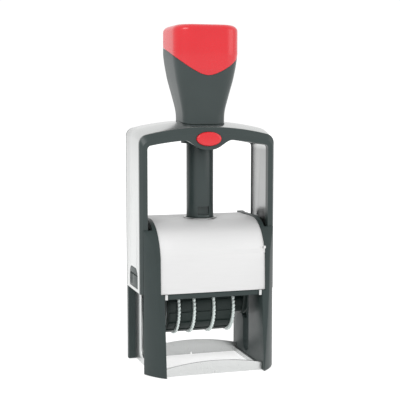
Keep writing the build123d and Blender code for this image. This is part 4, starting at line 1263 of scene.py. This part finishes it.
def carry_over(paints: Paints) -> None:
    """Gives each CAD node that is still shown the finish of its own slot."""
    for part in frame["record"]["subparts"]:
        node = frame["nodes"][part["node"]]
        if not node.hide_render:
            paints.coat(node, part["material_slot"])
            log.info("CAD node %s keeps its mesh", part["node"])


@dataclass
class Studio:
    """Floor, world light, lamps and camera."""
    eye: Point3 = (-131.6, -428.3, 117.4)
    heading: float = 0.296
    pitch: float = 0.097
    lens: float = 91.4
    sky: float = 1.05

    def floor(self) -> None:
        """Large pale sheet that the stamp stands on."""
        Bench.clear()
        bpy.ops.mesh.primitive_plane_add(size=6.0, location=(0.0, 0.0, -0.0002))
        sheet = bpy.context.object
        sheet.name = "floor_sheet"
        bpy.ops.object.transform_apply(location=True)
        paint = Sheet("floor_paint")
        cloud = paint.noise(3.0, 2.0)
        paint.set(Base_Color=paint.mix(cloud, (0.54, 0.54, 0.54), (0.56, 0.56, 0.56)), Roughness=0.9,
                  Metallic=0.0, Emission_Color=(1.0, 1.0, 1.0, 1.0), Emission_Strength=0.62)
        sheet.data.materials.append(paint.material)

    def world(self) -> None:
        """Even white surroundings."""
        world = bpy.data.worlds.new("sky")
        world.use_nodes = True
        world.node_tree.nodes["Background"].inputs[0].default_value = (1.0, 1.0, 1.0, 1.0)
        world.node_tree.nodes["Background"].inputs[1].default_value = self.sky
        bpy.context.scene.world = world

    def lamp(self, name: str, place: Point3, aim: Point3, size: float, power: float) -> None:
        """Soft square lamp.

        Args:
            name: name of the lamp.
            place: where it hangs, in millimetres.
            aim: the point that it faces.
            size: side of the square.
            power: watts.
        """
        data = bpy.data.lights.new(name, "AREA")
        data.shape, data.size, data.energy = "SQUARE", size * MM, power
        lamp = bpy.data.objects.new(name, data)
        bpy.context.scene.collection.objects.link(lamp)
        lamp.location = Vector(place) * MM
        lamp.rotation_mode = "QUATERNION"
        lamp.rotation_quaternion = (Vector(aim) - Vector(place)).to_track_quat("-Z", "Y")

    def camera(self) -> None:
        """Camera at the front left, a little above."""
        data = bpy.data.cameras.new("eye")
        data.lens, data.sensor_width = self.lens, 36.0
        data.clip_start, data.clip_end = 0.01, 50.0
        eye = bpy.data.objects.new("eye", data)
        bpy.context.scene.collection.objects.link(eye)
        eye.location = Vector(self.eye) * MM
        look = Vector((math.sin(self.heading) * math.cos(self.pitch),
                       math.cos(self.heading) * math.cos(self.pitch), -math.sin(self.pitch)))
        eye.rotation_mode = "QUATERNION"
        eye.rotation_quaternion = look.to_track_quat("-Z", "Y")
        bpy.context.scene.camera = eye

    def build(self) -> None:
        """Sets the whole scene up."""
        self.floor()
        self.world()
        self.lamp("key", (-500.0, -500.0, 650.0), (0.0, 0.0, 70.0), 450.0, 3.0)
        self.lamp("fill", (600.0, -400.0, 300.0), (0.0, 0.0, 70.0), 500.0, 1.0)
        self.camera()
        bpy.context.scene.view_settings.view_transform = "Standard"


def main() -> None:
    """Builds the stamp, one assembly after another, and its studio."""
    logging.basicConfig(level=logging.INFO, format="%(name)s %(message)s")
    paints = Paints()
    for kind in (Base, Guide, Bow, Handle, Lock, Pad, Carrier):
        log.info("building %s", kind.__name__)
        kind(paints).build()
    carry_over(paints)
    Studio().build()
    Bench.clear()


if __name__ == "__main__":
    main()
